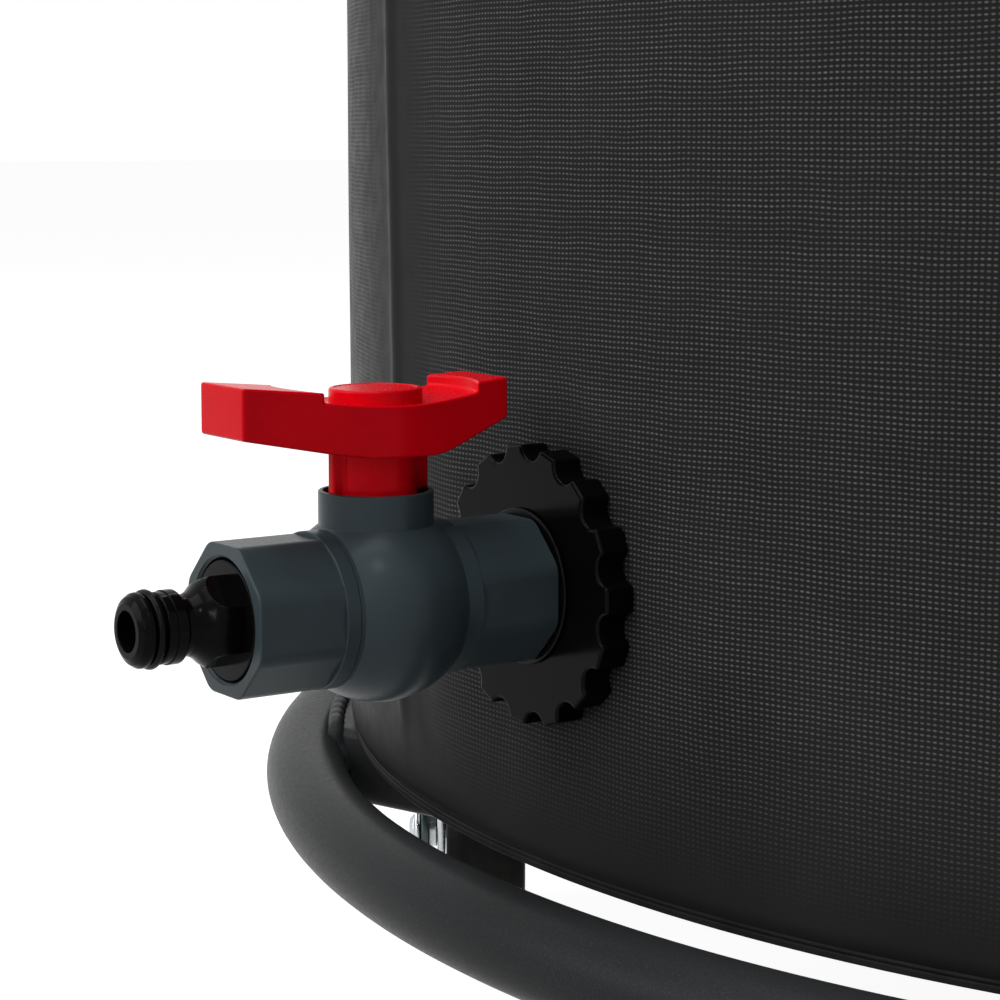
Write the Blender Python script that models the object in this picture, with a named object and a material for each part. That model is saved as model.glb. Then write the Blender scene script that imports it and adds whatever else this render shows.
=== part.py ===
"""Wheeled water butt: a round fabric tank on a ring frame with four castors and a ball valve.

Metres, +Z up, standing on the ground at Z = 0. The origin is under the middle of the whole outline, and the
tank's axis is a little in front of it along +Y, because the valve reaches out along -Y.
"""

import math

import bmesh
import bpy
from mathutils import Matrix

MM = 0.001

# Gap between pieces that touch
GAP = 0.3 * MM

# Tank
TANK_RADIUS = 300 * MM
TANK_WALL = 2 * MM
TANK_HEIGHT = 700 * MM
FOOT_ROUNDING = 6 * MM
HOOP_TUBE = 6 * MM
HOOP_BELOW_RIM = 12 * MM
ROD_RADIUS = 4 * MM
ROD_COUNT = 6
FIRST_ROD_ANGLE = math.radians(254.3)

# Cover and strainer
SKIRT_DEPTH = 41 * MM
SKIRT_SLACK = 0.4 * MM
COVER_HOLE_RADIUS = 75 * MM
SLOT_COUNT = 8

# Overflow, through the wall near the rim
OVERFLOW_ABOVE_FOOT = 620 * MM
OVERFLOW_ANGLE = math.radians(44)
OVERFLOW_TUBE = 12 * MM

# Frame
RING_RADIUS = 312.5 * MM
RING_TUBE = 11 * MM
RING_HEIGHT = 89.6 * MM
BAR_WIDTH = 40 * MM
BAR_DEPTH = 20 * MM
BAR_WALL = 2 * MM
LONG_BAR_OFFSET = 185.6 * MM
CROSS_BAR_OFFSET = 110 * MM
BAR_ANGLE = math.radians(17.7)

# Castors. Every wheel trails the same way, as after a short push
CASTOR_COUNT = 4
CASTOR_CIRCLE = 286 * MM
FIRST_CASTOR_ANGLE = math.radians(212.7)
BRAKED_CASTORS = (1, 2)
TRAIL = 22 * MM
TRAIL_ANGLE = math.radians(145.8)
WHEEL_RADIUS = 30 * MM
TYRE_HALF_WIDTH = 13 * MM
FORK_INSIDE = 13.8 * MM
FORK_PLATE = 2.5 * MM
CROWN_UNDERSIDE = 63 * MM
RACE_TOP = 73.5 * MM
STEM_RADIUS = 5 * MM
TAB_THICKNESS = 4.5 * MM
TAB_HALF_WIDTH = 22 * MM
TAB_REACH = 36 * MM
NUT_ACROSS_FLATS = 17 * MM
NUT_HEIGHT = 8 * MM
AXLE_RADIUS = 3.1 * MM
CHEEK_INSIDE = 20.4 * MM
CHEEK_PLATE = 3 * MM
WIDE_BOSS = 14 * MM
SMALL_BOSS = 8 * MM
PEDAL_THICKNESS = 3 * MM

# Valve. Lengths are measured outwards from the tank wall along the valve's own axis
VALVE_ABOVE_FOOT = 65.3 * MM
STEM_AT = 43.3 * MM
OCTAGON_ACROSS = 31 * MM
BODY_START = 7.2 * MM
BODY_END = 79.5 * MM
COLLAR_RADIUS = 16.5 * MM
BALL_HOUSING_RADIUS = 20.7 * MM
CAVITY_RADIUS = 15.1 * MM
BALL_RADIUS = 14.6 * MM
BALL_BORE = 8.5 * MM
WATERWAY = 9 * MM
NECK_RADIUS = 12.1 * MM
NECK_TOP = 23 * MM
VALVE_STEM_RADIUS = 5 * MM
STEM_TOP = 36 * MM
BUSH_RADIUS = 12.9 * MM
SEAL_OUTER_RADIUS = 17.6 * MM
FLANGE_NUT_RADIUS = 29.5 * MM
FLANGE_NUT_LOBES = 14
FLANGE_NUT_NOTCH = 2.7 * MM
FLANGE_NUT_FRONT = 4 * MM

# Handle, in the middle of its length and at its wings
HUB_HALF_WIDTH = 12 * MM
WING_HALF_WIDTH = 9 * MM
HUB_REACH = 16 * MM
BUTTON_RADIUS = 9.8 * MM
BUTTON_TOP = 44.5 * MM
COLUMN_RADIUS = 8.7 * MM
COLUMN_FOOT = 23.6 * MM
FIN_HALF_THICKNESS = 1.3 * MM
OUTWARD_FIN = 10.9 * MM
INWARD_FIN = 12.3 * MM

# Sides of the round pieces
TANK_SIDES = 48
RING_SIDES = 56
BIG_SIDES = 24
SIDES = 20
SMALL_SIDES = 12

FRAME_TOP = RING_HEIGHT + RING_TUBE
TANK_FOOT = FRAME_TOP + GAP
TANK_TOP = TANK_FOOT + TANK_HEIGHT
INSIDE_RADIUS = TANK_RADIUS - TANK_WALL
VALVE_HEIGHT = TANK_FOOT + VALVE_ABOVE_FOOT
VALVE_TIP = 101.2 * MM

# The outline runs from the valve's tip to the far side of the ring
AXIS_FORWARD = (VALVE_TIP + TANK_RADIUS - RING_RADIUS - RING_TUBE) / 2


def at(x, y, z):
    return Matrix.Translation((x, y, z))


def about_z(angle):
    return Matrix.Rotation(angle, 4, "Z")


# Turns that carry +Z to -Y, to +Y and to +X
FORWARD = Matrix.Rotation(math.radians(90), 4, "X")
BACKWARD = Matrix.Rotation(math.radians(-90), 4, "X")
RIGHTWARD = Matrix.Rotation(math.radians(90), 4, "Y")

# In the valve's own frame +Z runs outwards along the pipe and +Y is up
VALVE_PLACE = at(0, -TANK_RADIUS, VALVE_HEIGHT) @ FORWARD
UP_FROM_BALL = at(0, 0, STEM_AT) @ BACKWARD
OVERFLOW_PLACE = about_z(OVERFLOW_ANGLE) @ at(TANK_RADIUS, 0, TANK_FOOT + OVERFLOW_ABOVE_FOOT) @ RIGHTWARD


def clear_scene():
    for thing in list(bpy.data.objects):
        bpy.data.objects.remove(thing, do_unlink=True)


def material(name, colour, roughness, metallic=0.0):
    """A plain Principled material from a linear colour."""
    made = bpy.data.materials.new(name)
    made.use_nodes = True
    shader = made.node_tree.nodes["Principled BSDF"]
    shader.inputs["Base Color"].default_value = (*colour, 1)
    shader.inputs["Roughness"].default_value = roughness
    shader.inputs["Metallic"].default_value = metallic
    made.diffuse_color = (*colour, 1)
    return made


def new_object(name, data):
    made = bpy.data.objects.new(name, data)
    bpy.context.scene.collection.objects.link(made)
    return made


def solid(shape):
    """Turns a bmesh into an object whose faces point outwards."""
    bmesh.ops.remove_doubles(shape, verts=shape.verts, dist=0.001 * MM)
    bmesh.ops.recalc_face_normals(shape, faces=shape.faces)
    data = bpy.data.meshes.new("piece")
    shape.to_mesh(data)
    shape.free()
    return new_object("piece", data)


def combine(piece, others, operation):
    """Cuts or joins the other pieces, which are used up."""
    for other in others:
        step = piece.modifiers.new(operation, "BOOLEAN")
        step.operation = operation
        step.object = other
    graph = bpy.context.evaluated_depsgraph_get()
    data = bpy.data.meshes.new_from_object(piece.evaluated_get(graph))
    piece.modifiers.clear()
    piece.data = data
    for other in others:
        bpy.data.objects.remove(other, do_unlink=True)
    return piece


def join(piece, *others):
    return combine(piece, others, "UNION")


def cut(piece, *others):
    return combine(piece, others, "DIFFERENCE")


def moved(piece, matrix):
    """Carries a piece's mesh to another place, before it meets its neighbours."""
    piece.data.transform(matrix)
    return piece


def finish(piece, name, made_of, place=None, parent=None):
    """Names a piece, gives it its material and shading, and sets it in its place."""
    piece.name = name
    piece.data.name = name
    piece.data.materials.clear()
    piece.data.materials.append(made_of)
    piece.data.shade_smooth()
    piece.data.set_sharp_from_angle(angle=math.radians(35))
    piece.parent = parent
    piece.matrix_basis = place or Matrix()


def axis_empty(name, place, parent=None):
    """Marks the axis that the pieces parented to it turn about."""
    made = new_object(name, None)
    made.empty_display_size = 0.03
    made.parent = parent
    made.matrix_basis = place
    return made


def turned(profile, sides):
    """A body turned round Z from (radius, height) points, closed on the axis or as a ring."""
    shape = bmesh.new()
    points = [shape.verts.new((radius, 0, height)) for radius, height in profile]
    edges = [shape.edges.new(pair) for pair in zip(points, points[1:])]
    if min(profile[0][0], profile[-1][0]) > 0:
        edges.append(shape.edges.new((points[-1], points[0])))
    turn = {"cent": (0, 0, 0), "axis": (0, 0, 1), "angle": 2 * math.pi, "steps": sides}
    bmesh.ops.spin(shape, geom=points + edges, use_merge=True, **turn)
    return solid(shape)


def cylinder(radius, low, high, sides):
    return turned([(0, low), (radius, low), (radius, high), (0, high)], sides)


def prism(outline, low, high):
    """An outline in the XY plane, extruded from one height to another."""
    shape = bmesh.new()
    face = shape.faces.new([shape.verts.new((x, y, low)) for x, y in outline])
    grown = bmesh.ops.extrude_face_region(shape, geom=[face])
    top = [item for item in grown["geom"] if isinstance(item, bmesh.types.BMVert)]
    bmesh.ops.translate(shape, verts=top, vec=(0, 0, high - low))
    return solid(shape)


def box(low, high):
    (x0, y0, z0), (x1, y1, z1) = low, high
    return prism([(x0, y0), (x1, y0), (x1, y1), (x0, y1)], z0, z1)


def in_mm(points):
    return [(a * MM, b * MM) for a, b in points]


def arc(centre, radius, start, end, steps):
    """Points along an arc, both ends among them."""
    angles = [start + (end - start) * i / steps for i in range(steps + 1)]
    return [(centre[0] + radius * math.cos(a), centre[1] + radius * math.sin(a)) for a in angles]


def rounded_polygon(sides, across_flats, corner, steps=2):
    """A regular polygon with a flat at each end of Y and round corners."""
    half_turn = math.pi / sides
    centre_radius = (across_flats / 2 - corner) / math.cos(half_turn)
    first = math.pi / 2 + half_turn
    points = []
    for i in range(sides):
        middle = first + 2 * i * half_turn
        centre = (centre_radius * math.cos(middle), centre_radius * math.sin(middle))
        points += arc(centre, corner, middle - half_turn, middle + half_turn, steps)
    return points


def upright(outline, low, high):
    """An (X, Z) outline in the plane of the wheel, given its thickness along the axle."""
    return moved(prism(outline, -high, -low), FORWARD)


def pair_of_plates(outline, inside, thickness):
    outside = inside + thickness
    return upright(outline, inside, outside), upright(outline, -outside, -inside)


def along_axle(radius, reach, sides=SMALL_SIDES):
    """A round bar through the wheel's centre."""
    return moved(cylinder(radius, -reach, reach, sides), at(TRAIL, 0, WHEEL_RADIUS) @ BACKWARD)


def mirrored(half):
    """A profile across the wheel, from its half on the +Y side."""
    return half + [(radius, -width) for radius, width in reversed(half)]


def frame_ring(steel):
    section = arc((RING_RADIUS, RING_HEIGHT), RING_TUBE, 0, 2 * math.pi, 8)[:-1]
    finish(turned(section, RING_SIDES), "frame_ring", steel)


def frame_bars(steel):
    """Two long rectangular tubes across the ring, and two short ones between them."""
    low = FRAME_TOP - BAR_DEPTH
    hollow_half, hollow_low, hollow_high = BAR_WIDTH / 2 - BAR_WALL, low + BAR_WALL, FRAME_TOP - BAR_WALL
    inside_ring = (RING_RADIUS - RING_TUBE) * math.cos(math.pi / RING_SIDES) - GAP
    near, far = LONG_BAR_OFFSET - BAR_WIDTH / 2, LONG_BAR_OFFSET + BAR_WIDTH / 2
    end = arc((0, 0), inside_ring, math.asin(near / inside_ring), math.asin(far / inside_ring), 3)
    outline = end + [(-x, y) for x, y in reversed(end)]
    for number, side in ((1, -1), (2, 1)):
        middle = side * LONG_BAR_OFFSET
        bar = prism([(x, side * y) for x, y in outline], low, FRAME_TOP)
        inside_low = (-RING_RADIUS, middle - hollow_half, hollow_low)
        inside_high = (RING_RADIUS, middle + hollow_half, hollow_high)
        bar = cut(bar, box(inside_low, inside_high))
        finish(bar, f"frame_bar_{number}", steel, about_z(BAR_ANGLE))
    half = near - GAP
    for number, side in ((3, -1), (4, 1)):
        middle = side * CROSS_BAR_OFFSET
        bar = box((middle - BAR_WIDTH / 2, -half, low), (middle + BAR_WIDTH / 2, half, FRAME_TOP))
        inside_low = (middle - hollow_half, -RING_RADIUS, hollow_low)
        inside_high = (middle + hollow_half, RING_RADIUS, hollow_high)
        bar = cut(bar, box(inside_low, inside_high))
        finish(bar, f"frame_bar_{number}", steel, about_z(BAR_ANGLE))


def castor_tab(number, angle, steel):
    """The plate under the ring that the castor's stem bolts through."""
    low = RACE_TOP + GAP
    outline = arc((0, 0), TAB_HALF_WIDTH, math.pi / 2, 3 * math.pi / 2, 6)
    outline += [(TAB_REACH, -TAB_HALF_WIDTH), (TAB_REACH, TAB_HALF_WIDTH)]
    hole = cylinder(STEM_RADIUS + GAP, low - TAB_THICKNESS, low + 2 * TAB_THICKNESS, SMALL_SIDES)
    tab = cut(prism(outline, low, low + TAB_THICKNESS), hole)
    finish(tab, f"castor_{number}_tab", steel, about_z(angle) @ at(CASTOR_CIRCLE, 0, 0))


def castor_stem(number, place, zinc):
    """The head that holds the fork up, the shank through its crown, the race above it and the thread."""
    profile = in_mm([(0, 58.7), (7.5, 58.7), (7.5, 62.2), (5, 62.2), (5, 66), (17, 66), (17, 71), (15, 73.5)])
    profile += in_mm([(5, 73.5), (5, 90), (0, 90)])
    finish(turned(profile, SMALL_SIDES), f"castor_{number}_stem", zinc, place)


def castor_stem_nut(number, place, zinc):
    low = RACE_TOP + 2 * GAP + TAB_THICKNESS
    hole = cylinder(STEM_RADIUS + GAP, low - NUT_HEIGHT, low + 2 * NUT_HEIGHT, SMALL_SIDES)
    nut = cut(prism(rounded_polygon(6, NUT_ACROSS_FLATS, MM, 1), low, low + NUT_HEIGHT), hole)
    finish(nut, f"castor_{number}_stem_nut", zinc, place)


def castor_fork(number, swivel, zinc):
    """A pressed crown and two legs that reach back and down to the axle."""
    boss = arc((TRAIL, WHEEL_RADIUS), 9 * MM, math.radians(210), math.radians(345), 4)
    leg = boss + in_mm([(39, 47), (43, 55), (43, 60), (38, 65), (-13, 65), (-9, 55)])
    half_width = FORK_INSIDE + FORK_PLATE / 2
    crown = arc((0, 0), half_width, math.pi / 2, 3 * math.pi / 2, 6)
    crown += [(TAB_REACH, -half_width), (TAB_REACH, half_width)]
    fork = prism(crown, CROWN_UNDERSIDE, CROWN_UNDERSIDE + FORK_PLATE)
    fork = join(fork, *pair_of_plates(leg, FORK_INSIDE, FORK_PLATE))
    swivel_hole = cylinder(STEM_RADIUS + GAP, CROWN_UNDERSIDE / 2, 2 * CROWN_UNDERSIDE, SMALL_SIDES)
    fork = cut(fork, swivel_hole, along_axle(AXLE_RADIUS + GAP, 2 * FORK_INSIDE))
    finish(fork, f"castor_{number}_fork", zinc, parent=swivel)


def castor_axle(number, swivel, zinc):
    """The axle bolt. On a braked castor its ends also carry the lever's cheeks."""
    collar_start = FORK_INSIDE + FORK_PLATE + GAP
    collar_end = CHEEK_INSIDE - GAP
    half = [(0, collar_end + MM), (AXLE_RADIUS, collar_end + MM)]
    if number in BRAKED_CASTORS:
        head_start = CHEEK_INSIDE + CHEEK_PLATE + GAP
        head_end = head_start + 2.3 * MM
        half = [(0, head_end), (5 * MM, head_end), (5 * MM, head_start), (AXLE_RADIUS, head_start)]
    half += [(AXLE_RADIUS, collar_end), (5.8 * MM, collar_end), (5.8 * MM, collar_start)]
    half += [(AXLE_RADIUS, collar_start)]
    axle = moved(turned(mirrored(half), SMALL_SIDES), BACKWARD)
    finish(axle, f"castor_{number}_axle", zinc, at(TRAIL, 0, WHEEL_RADIUS), swivel)


def wheel(number, rolling, nylon, rubber):
    """The hard core that runs on the axle, and the tyre round it, which stands on one of its flats."""
    core = mirrored(in_mm([(22, 11), (8, 13.3), (3.4, 13.3)]))
    finish(moved(turned(core, SIDES), BACKWARD), f"castor_{number}_wheel_core", nylon, parent=rolling)
    outer = WHEEL_RADIUS / math.cos(math.pi / BIG_SIDES)
    shoulder = outer - 0.8 * MM
    half = [(outer, 6 * MM), (shoulder, 11 * MM), (outer - 4 * MM, TYRE_HALF_WIDTH), (22.4 * MM, 11.6 * MM)]
    tyre = moved(turned(mirrored(half), BIG_SIDES), BACKWARD @ about_z(math.pi / BIG_SIDES))
    finish(tyre, f"castor_{number}_tyre", rubber, parent=rolling)


def brake_lever(number, braking, zinc):
    """Two cheeks that turn on the ends of the axle, and the pedal that joins them behind the wheel.

    The cheek on the +Y side has a wide round boss, which the photo shows, and the other a small one.
    """
    cheeks = []
    for boss, start in ((WIDE_BOSS, CHEEK_INSIDE), (SMALL_BOSS, -CHEEK_INSIDE - CHEEK_PLATE)):
        outline = arc((0, 0), boss, math.radians(60), math.radians(300), 8)
        outline += in_mm([(37, 5), (53, 12), (53, 17), (37, 20)])
        cheeks.append(upright(outline, start, start + CHEEK_PLATE))
    lever, other = cheeks
    half_width = CHEEK_INSIDE + CHEEK_PLATE / 2
    pedal_top = 16.5 * MM
    pedal = box((36 * MM, -half_width, pedal_top - PEDAL_THICKNESS), (52 * MM, half_width, pedal_top))
    lever = join(lever, other, pedal)
    reach = CHEEK_INSIDE + 2 * CHEEK_PLATE
    hole = moved(cylinder(AXLE_RADIUS + GAP, -reach, reach, SMALL_SIDES), BACKWARD)
    finish(cut(lever, hole), f"castor_{number}_brake_lever", zinc, parent=braking)


def castors(steel, zinc, nylon, rubber):
    axle_place = at(TRAIL, 0, WHEEL_RADIUS)
    for number in range(1, CASTOR_COUNT + 1):
        angle = FIRST_CASTOR_ANGLE + (number - 1) * 2 * math.pi / CASTOR_COUNT
        place = at(CASTOR_CIRCLE * math.cos(angle), CASTOR_CIRCLE * math.sin(angle), 0)
        swivel = axis_empty(f"castor_{number}_swivel_axis", place @ about_z(TRAIL_ANGLE))
        castor_tab(number, angle, steel)
        castor_stem(number, place, zinc)
        castor_stem_nut(number, place, zinc)
        castor_fork(number, swivel, zinc)
        castor_axle(number, swivel, zinc)
        wheel(number, axis_empty(f"castor_{number}_wheel_axis", axle_place, swivel), nylon, rubber)
        if number in BRAKED_CASTORS:
            brake_lever(number, axis_empty(f"castor_{number}_brake_axis", axle_place, swivel), zinc)


def tank_shell(fabric):
    """The fabric tank, open at the top, with holes for the outlet and the overflow."""
    corner = (TANK_RADIUS - FOOT_ROUNDING, TANK_FOOT + FOOT_ROUNDING)
    profile = [(0, TANK_FOOT)] + arc(corner, FOOT_ROUNDING, -math.pi / 2, 0, 3)
    profile += [(TANK_RADIUS, TANK_TOP), (INSIDE_RADIUS, TANK_TOP)]
    profile += arc(corner, FOOT_ROUNDING - TANK_WALL, 0, -math.pi / 2, 2) + [(0, TANK_FOOT + TANK_WALL)]
    reach = 10 * TANK_WALL
    outlet = moved(cylinder(BUSH_RADIUS + GAP, -reach, reach, SIDES), VALVE_PLACE)
    overflow = moved(cylinder(OVERFLOW_TUBE + GAP, -reach, reach, SIDES), OVERFLOW_PLACE)
    finish(cut(turned(profile, TANK_SIDES), outlet, overflow), "tank_shell", fabric)


def tank_hoop_and_rods(plastic):
    """The hoop inside the rim, and the upright rods that hold the wall up."""
    hoop_height = TANK_TOP - HOOP_BELOW_RIM
    inside = INSIDE_RADIUS * math.cos(math.pi / TANK_SIDES) - GAP
    section = arc((inside - HOOP_TUBE, hoop_height), HOOP_TUBE, 0, 2 * math.pi, 6)[:-1]
    finish(turned(section, TANK_SIDES), "tank_top_hoop", plastic)
    rod_circle = inside - ROD_RADIUS
    for number in range(1, ROD_COUNT + 1):
        angle = FIRST_ROD_ANGLE + (number - 1) * 2 * math.pi / ROD_COUNT
        rod = cylinder(ROD_RADIUS, TANK_FOOT + FOOT_ROUNDING, hoop_height - HOOP_TUBE - GAP, 8)
        place = at(rod_circle * math.cos(angle), rod_circle * math.sin(angle), 0)
        finish(rod, f"tank_rod_{number}", plastic, place)


def cover_and_strainer(fabric, plastic):
    """The fabric cover with its skirt, and the slotted bowl that lifts out of the hole in its middle."""
    low = TANK_TOP + GAP
    high = low + TANK_WALL
    inner = TANK_RADIUS + SKIRT_SLACK
    outer = inner + TANK_WALL
    hem = TANK_TOP - SKIRT_DEPTH
    profile = [(inner, hem), (outer, hem), (outer, high), (COVER_HOLE_RADIUS, high)]
    profile += [(COVER_HOLE_RADIUS, low), (inner, low)]
    finish(turned(profile, TANK_SIDES), "cover", fabric)
    rim = high + GAP
    bowl = in_mm([(0, -40), (66, -40), (74, 0), (84, 0), (84, 2), (71.5, 2), (64, -38), (0, -38)])
    strainer = turned([(radius, rim + height) for radius, height in bowl], TANK_SIDES // 2)
    slot_low, slot_high = (16 * MM, -2.5 * MM, rim - 45 * MM), (56 * MM, 2.5 * MM, rim - 30 * MM)
    turns = [about_z(2 * math.pi * i / SLOT_COUNT) for i in range(SLOT_COUNT)]
    strainer = cut(strainer, *[moved(box(slot_low, slot_high), turn) for turn in turns])
    finish(strainer, "strainer", plastic)


def overflow(plastic):
    """A barbed spigot through the wall, held by a ring nut inside."""
    tube = OVERFLOW_TUBE / MM
    spigot = [(9, -16), (tube, -16), (tube, 0.4), (21, 0.4), (21, 4), (11.5, 4), (11.5, 26), (13.5, 27)]
    spigot += [(11.5, 36), (11.5, 40), (9, 40)]
    finish(turned(in_mm(spigot), SIDES), "overflow_spigot", plastic, OVERFLOW_PLACE)
    hole = tube + GAP / MM
    nut = [(hole, -9), (19, -9), (19, -3.2), (hole, -3.2)]
    finish(turned(in_mm(nut), SIDES), "overflow_nut", plastic, OVERFLOW_PLACE)


def ring(inner, outer, start, end):
    return turned([(inner, start), (outer, start), (outer, end), (inner, end)], SIDES)


def tank_outlet(black, rubber):
    """The bush through the wall, its two seals and the lobed nut that clamps the fabric."""
    hole = BUSH_RADIUS + GAP
    bush = ring(WATERWAY, BUSH_RADIUS, -9.4 * MM, 24 * MM)
    bush = join(bush, ring(WATERWAY, 26 * MM, -9.4 * MM, -5.6 * MM))
    finish(bush, "outlet_bush", black, VALVE_PLACE)
    finish(ring(hole, 26 * MM, -5.2 * MM, -3.7 * MM), "outlet_inner_seal", rubber, VALVE_PLACE)
    root = FLANGE_NUT_RADIUS - FLANGE_NUT_NOTCH
    lobe = [(-0.14, root), (0.14, root), (0.25, FLANGE_NUT_RADIUS), (0.5, FLANGE_NUT_RADIUS)]
    lobe += [(0.75, FLANGE_NUT_RADIUS)]
    outline = []
    for i in range(FLANGE_NUT_LOBES):
        for share, radius in lobe:
            angle = math.pi / 2 + (i + share) * 2 * math.pi / FLANGE_NUT_LOBES
            outline.append((radius * math.cos(angle), radius * math.sin(angle)))
    bore = cylinder(hole, -FLANGE_NUT_FRONT, 2 * FLANGE_NUT_FRONT, SIDES)
    nut = cut(prism(outline, GAP, FLANGE_NUT_FRONT), bore)
    finish(nut, "outlet_flange_nut", black, VALVE_PLACE)
    seal = ring(hole, SEAL_OUTER_RADIUS, FLANGE_NUT_FRONT + GAP, BODY_START - GAP)
    finish(seal, "outlet_outer_seal", rubber, VALVE_PLACE)


def valve_body(grey):
    """The ball housing with its rear octagon and the neck for the stem."""
    back, front = 27 * MM, 2 * STEM_AT - 30.1 * MM
    meets = math.asin(COLLAR_RADIUS / BALL_HOUSING_RADIUS)
    housing = [(0, back), (COLLAR_RADIUS, back)]
    for i in range(9):
        angle = meets + (math.pi - 2 * meets) * i / 8
        reach = BALL_HOUSING_RADIUS * math.cos(angle)
        housing.append((BALL_HOUSING_RADIUS * math.sin(angle), STEM_AT - reach))
    housing += [(COLLAR_RADIUS, front), (0, front)]
    octagon = prism(rounded_polygon(8, OCTAGON_ACROSS, 3 * MM), BODY_START, back + MM)
    neck = moved(cylinder(NECK_RADIUS, 0, NECK_TOP, SIDES), UP_FROM_BALL)
    body = join(turned(housing, BIG_SIDES), octagon, neck)
    hole = BUSH_RADIUS + GAP
    rear_wall = (25 * MM, 30.8 * MM)
    bore = [(0, 0), (hole, 0), (hole, rear_wall[0]), (WATERWAY, rear_wall[0]), (WATERWAY, rear_wall[1])]
    bore += [(CAVITY_RADIUS, rear_wall[1]), (CAVITY_RADIUS, BODY_END), (0, BODY_END)]
    stem_hole = moved(cylinder(VALVE_STEM_RADIUS + GAP, STEM_RADIUS, STEM_TOP, SMALL_SIDES), UP_FROM_BALL)
    finish(cut(body, turned(bore, SIDES), stem_hole), "valve_body", grey, VALVE_PLACE)
    return front


def valve_end_socket(front, grey):
    """The octagonal end that screws on in front of the ball."""
    start, step, thread_start = front + GAP, 60 * MM, 62 * MM
    shoulder = cylinder(COLLAR_RADIUS, start, step, BIG_SIDES)
    socket = join(shoulder, prism(rounded_polygon(8, OCTAGON_ACROSS, 3 * MM), step - MM, BODY_END))
    thread = 12.8 * MM
    bore = [(0, 0), (WATERWAY, 0), (WATERWAY, thread_start), (thread, thread_start)]
    bore += [(thread, 2 * BODY_END), (0, 2 * BODY_END)]
    finish(cut(socket, turned(bore, SIDES)), "valve_end_socket", grey, VALVE_PLACE)


def valve_seats(front, white):
    """The rings that the ball turns between. Each is hollowed to the ball's own curve."""
    curve = BALL_RADIUS + GAP
    radii = [12.6 * MM, 10.8 * MM, 8.8 * MM]
    outer = CAVITY_RADIUS - GAP
    depths = [math.sqrt(curve**2 - radius**2) for radius in radii]
    for name, way, back in (("rear", -1, STEM_AT - 30.8 * MM - GAP), ("front", 1, front - STEM_AT)):
        profile = [(radii[-1], back), (outer, back), (outer, depths[0])]
        profile += list(zip(radii, depths))
        placed = [(radius, STEM_AT + way * depth) for radius, depth in profile]
        finish(turned(placed, SIDES), f"valve_{name}_seat", white, VALVE_PLACE)


def valve_ball(turning, white):
    """The bored ball, with a slot across its top for the stem's tongue."""
    profile = arc((0, 0), BALL_RADIUS, -math.pi / 2, math.pi / 2, 10)
    profile[0], profile[-1] = (0, -BALL_RADIUS), (0, BALL_RADIUS)
    half_step = about_z(math.pi / SIDES)
    bore = moved(cylinder(BALL_BORE, -2 * BALL_RADIUS, 2 * BALL_RADIUS, SIDES), FORWARD @ half_step)
    slot_low, slot_high = (-BALL_RADIUS, -1.8 * MM, 11.2 * MM), (BALL_RADIUS, 1.8 * MM, 2 * BALL_RADIUS)
    finish(cut(turned(profile, SIDES), bore, box(slot_low, slot_high)), "valve_ball", white, parent=turning)


def valve_stem(turning, white):
    """A tongue in the ball's slot, and a shank through the neck into the handle."""
    tongue = box((-4.2 * MM, -1.4 * MM, 11.6 * MM), (4.2 * MM, 1.4 * MM, 17 * MM))
    shank = cylinder(VALVE_STEM_RADIUS, 15.4 * MM, STEM_TOP, SMALL_SIDES)
    finish(join(shank, tongue), "valve_stem", white, parent=turning)


def valve_handle(turning, red):
    """The lever: two wings that rise from a round hub, with raised pads, a button and a finned column."""
    # Distance outwards from the stem, underside and top, in millimetres above the pipe's axis
    stations = [(-27.3, 38.0, 46.4), (-21.3, 35.9, 45.6), (-21.0, 35.8, 43.7), (-14, 33.5, 43.0)]
    stations += [(-8, 31.8, 42.3), (8, 31.8, 42.3), (14, 32.6, 43.0), (19.6, 33.4, 43.7)]
    stations += [(19.9, 33.5, 45.6), (36.2, 36.9, 47.3)]
    shape = bmesh.new()
    sections = []
    for out, low, high in stations:
        share = min(abs(out) * MM / HUB_REACH, 1)
        half = WING_HALF_WIDTH + (HUB_HALF_WIDTH - WING_HALF_WIDTH) * math.cos(share * math.pi / 2)
        corners = [(half, low), (half, high), (-half, high), (-half, low)]
        sections.append([shape.verts.new((x, -out * MM, z * MM)) for x, z in corners])
    for first, second in zip(sections, sections[1:]):
        for i in range(4):
            j = (i + 1) % 4
            shape.faces.new((first[i], first[j], second[j], second[i]))
    shape.faces.new(sections[0])
    shape.faces.new(sections[-1])
    inside = 34 * MM
    button = cylinder(BUTTON_RADIUS, inside + 4 * MM, BUTTON_TOP, SIDES)
    column = cylinder(COLUMN_RADIUS, COLUMN_FOOT, inside, SIDES)
    fins = box((-FIN_HALF_THICKNESS, -OUTWARD_FIN, COLUMN_FOOT), (FIN_HALF_THICKNESS, INWARD_FIN, inside))
    handle = join(solid(shape), button, join(column, fins))
    handle = cut(handle, cylinder(VALVE_STEM_RADIUS + GAP, COLUMN_FOOT / 2, STEM_TOP + GAP, SMALL_SIDES))
    finish(handle, "valve_handle", red, parent=turning)


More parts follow.
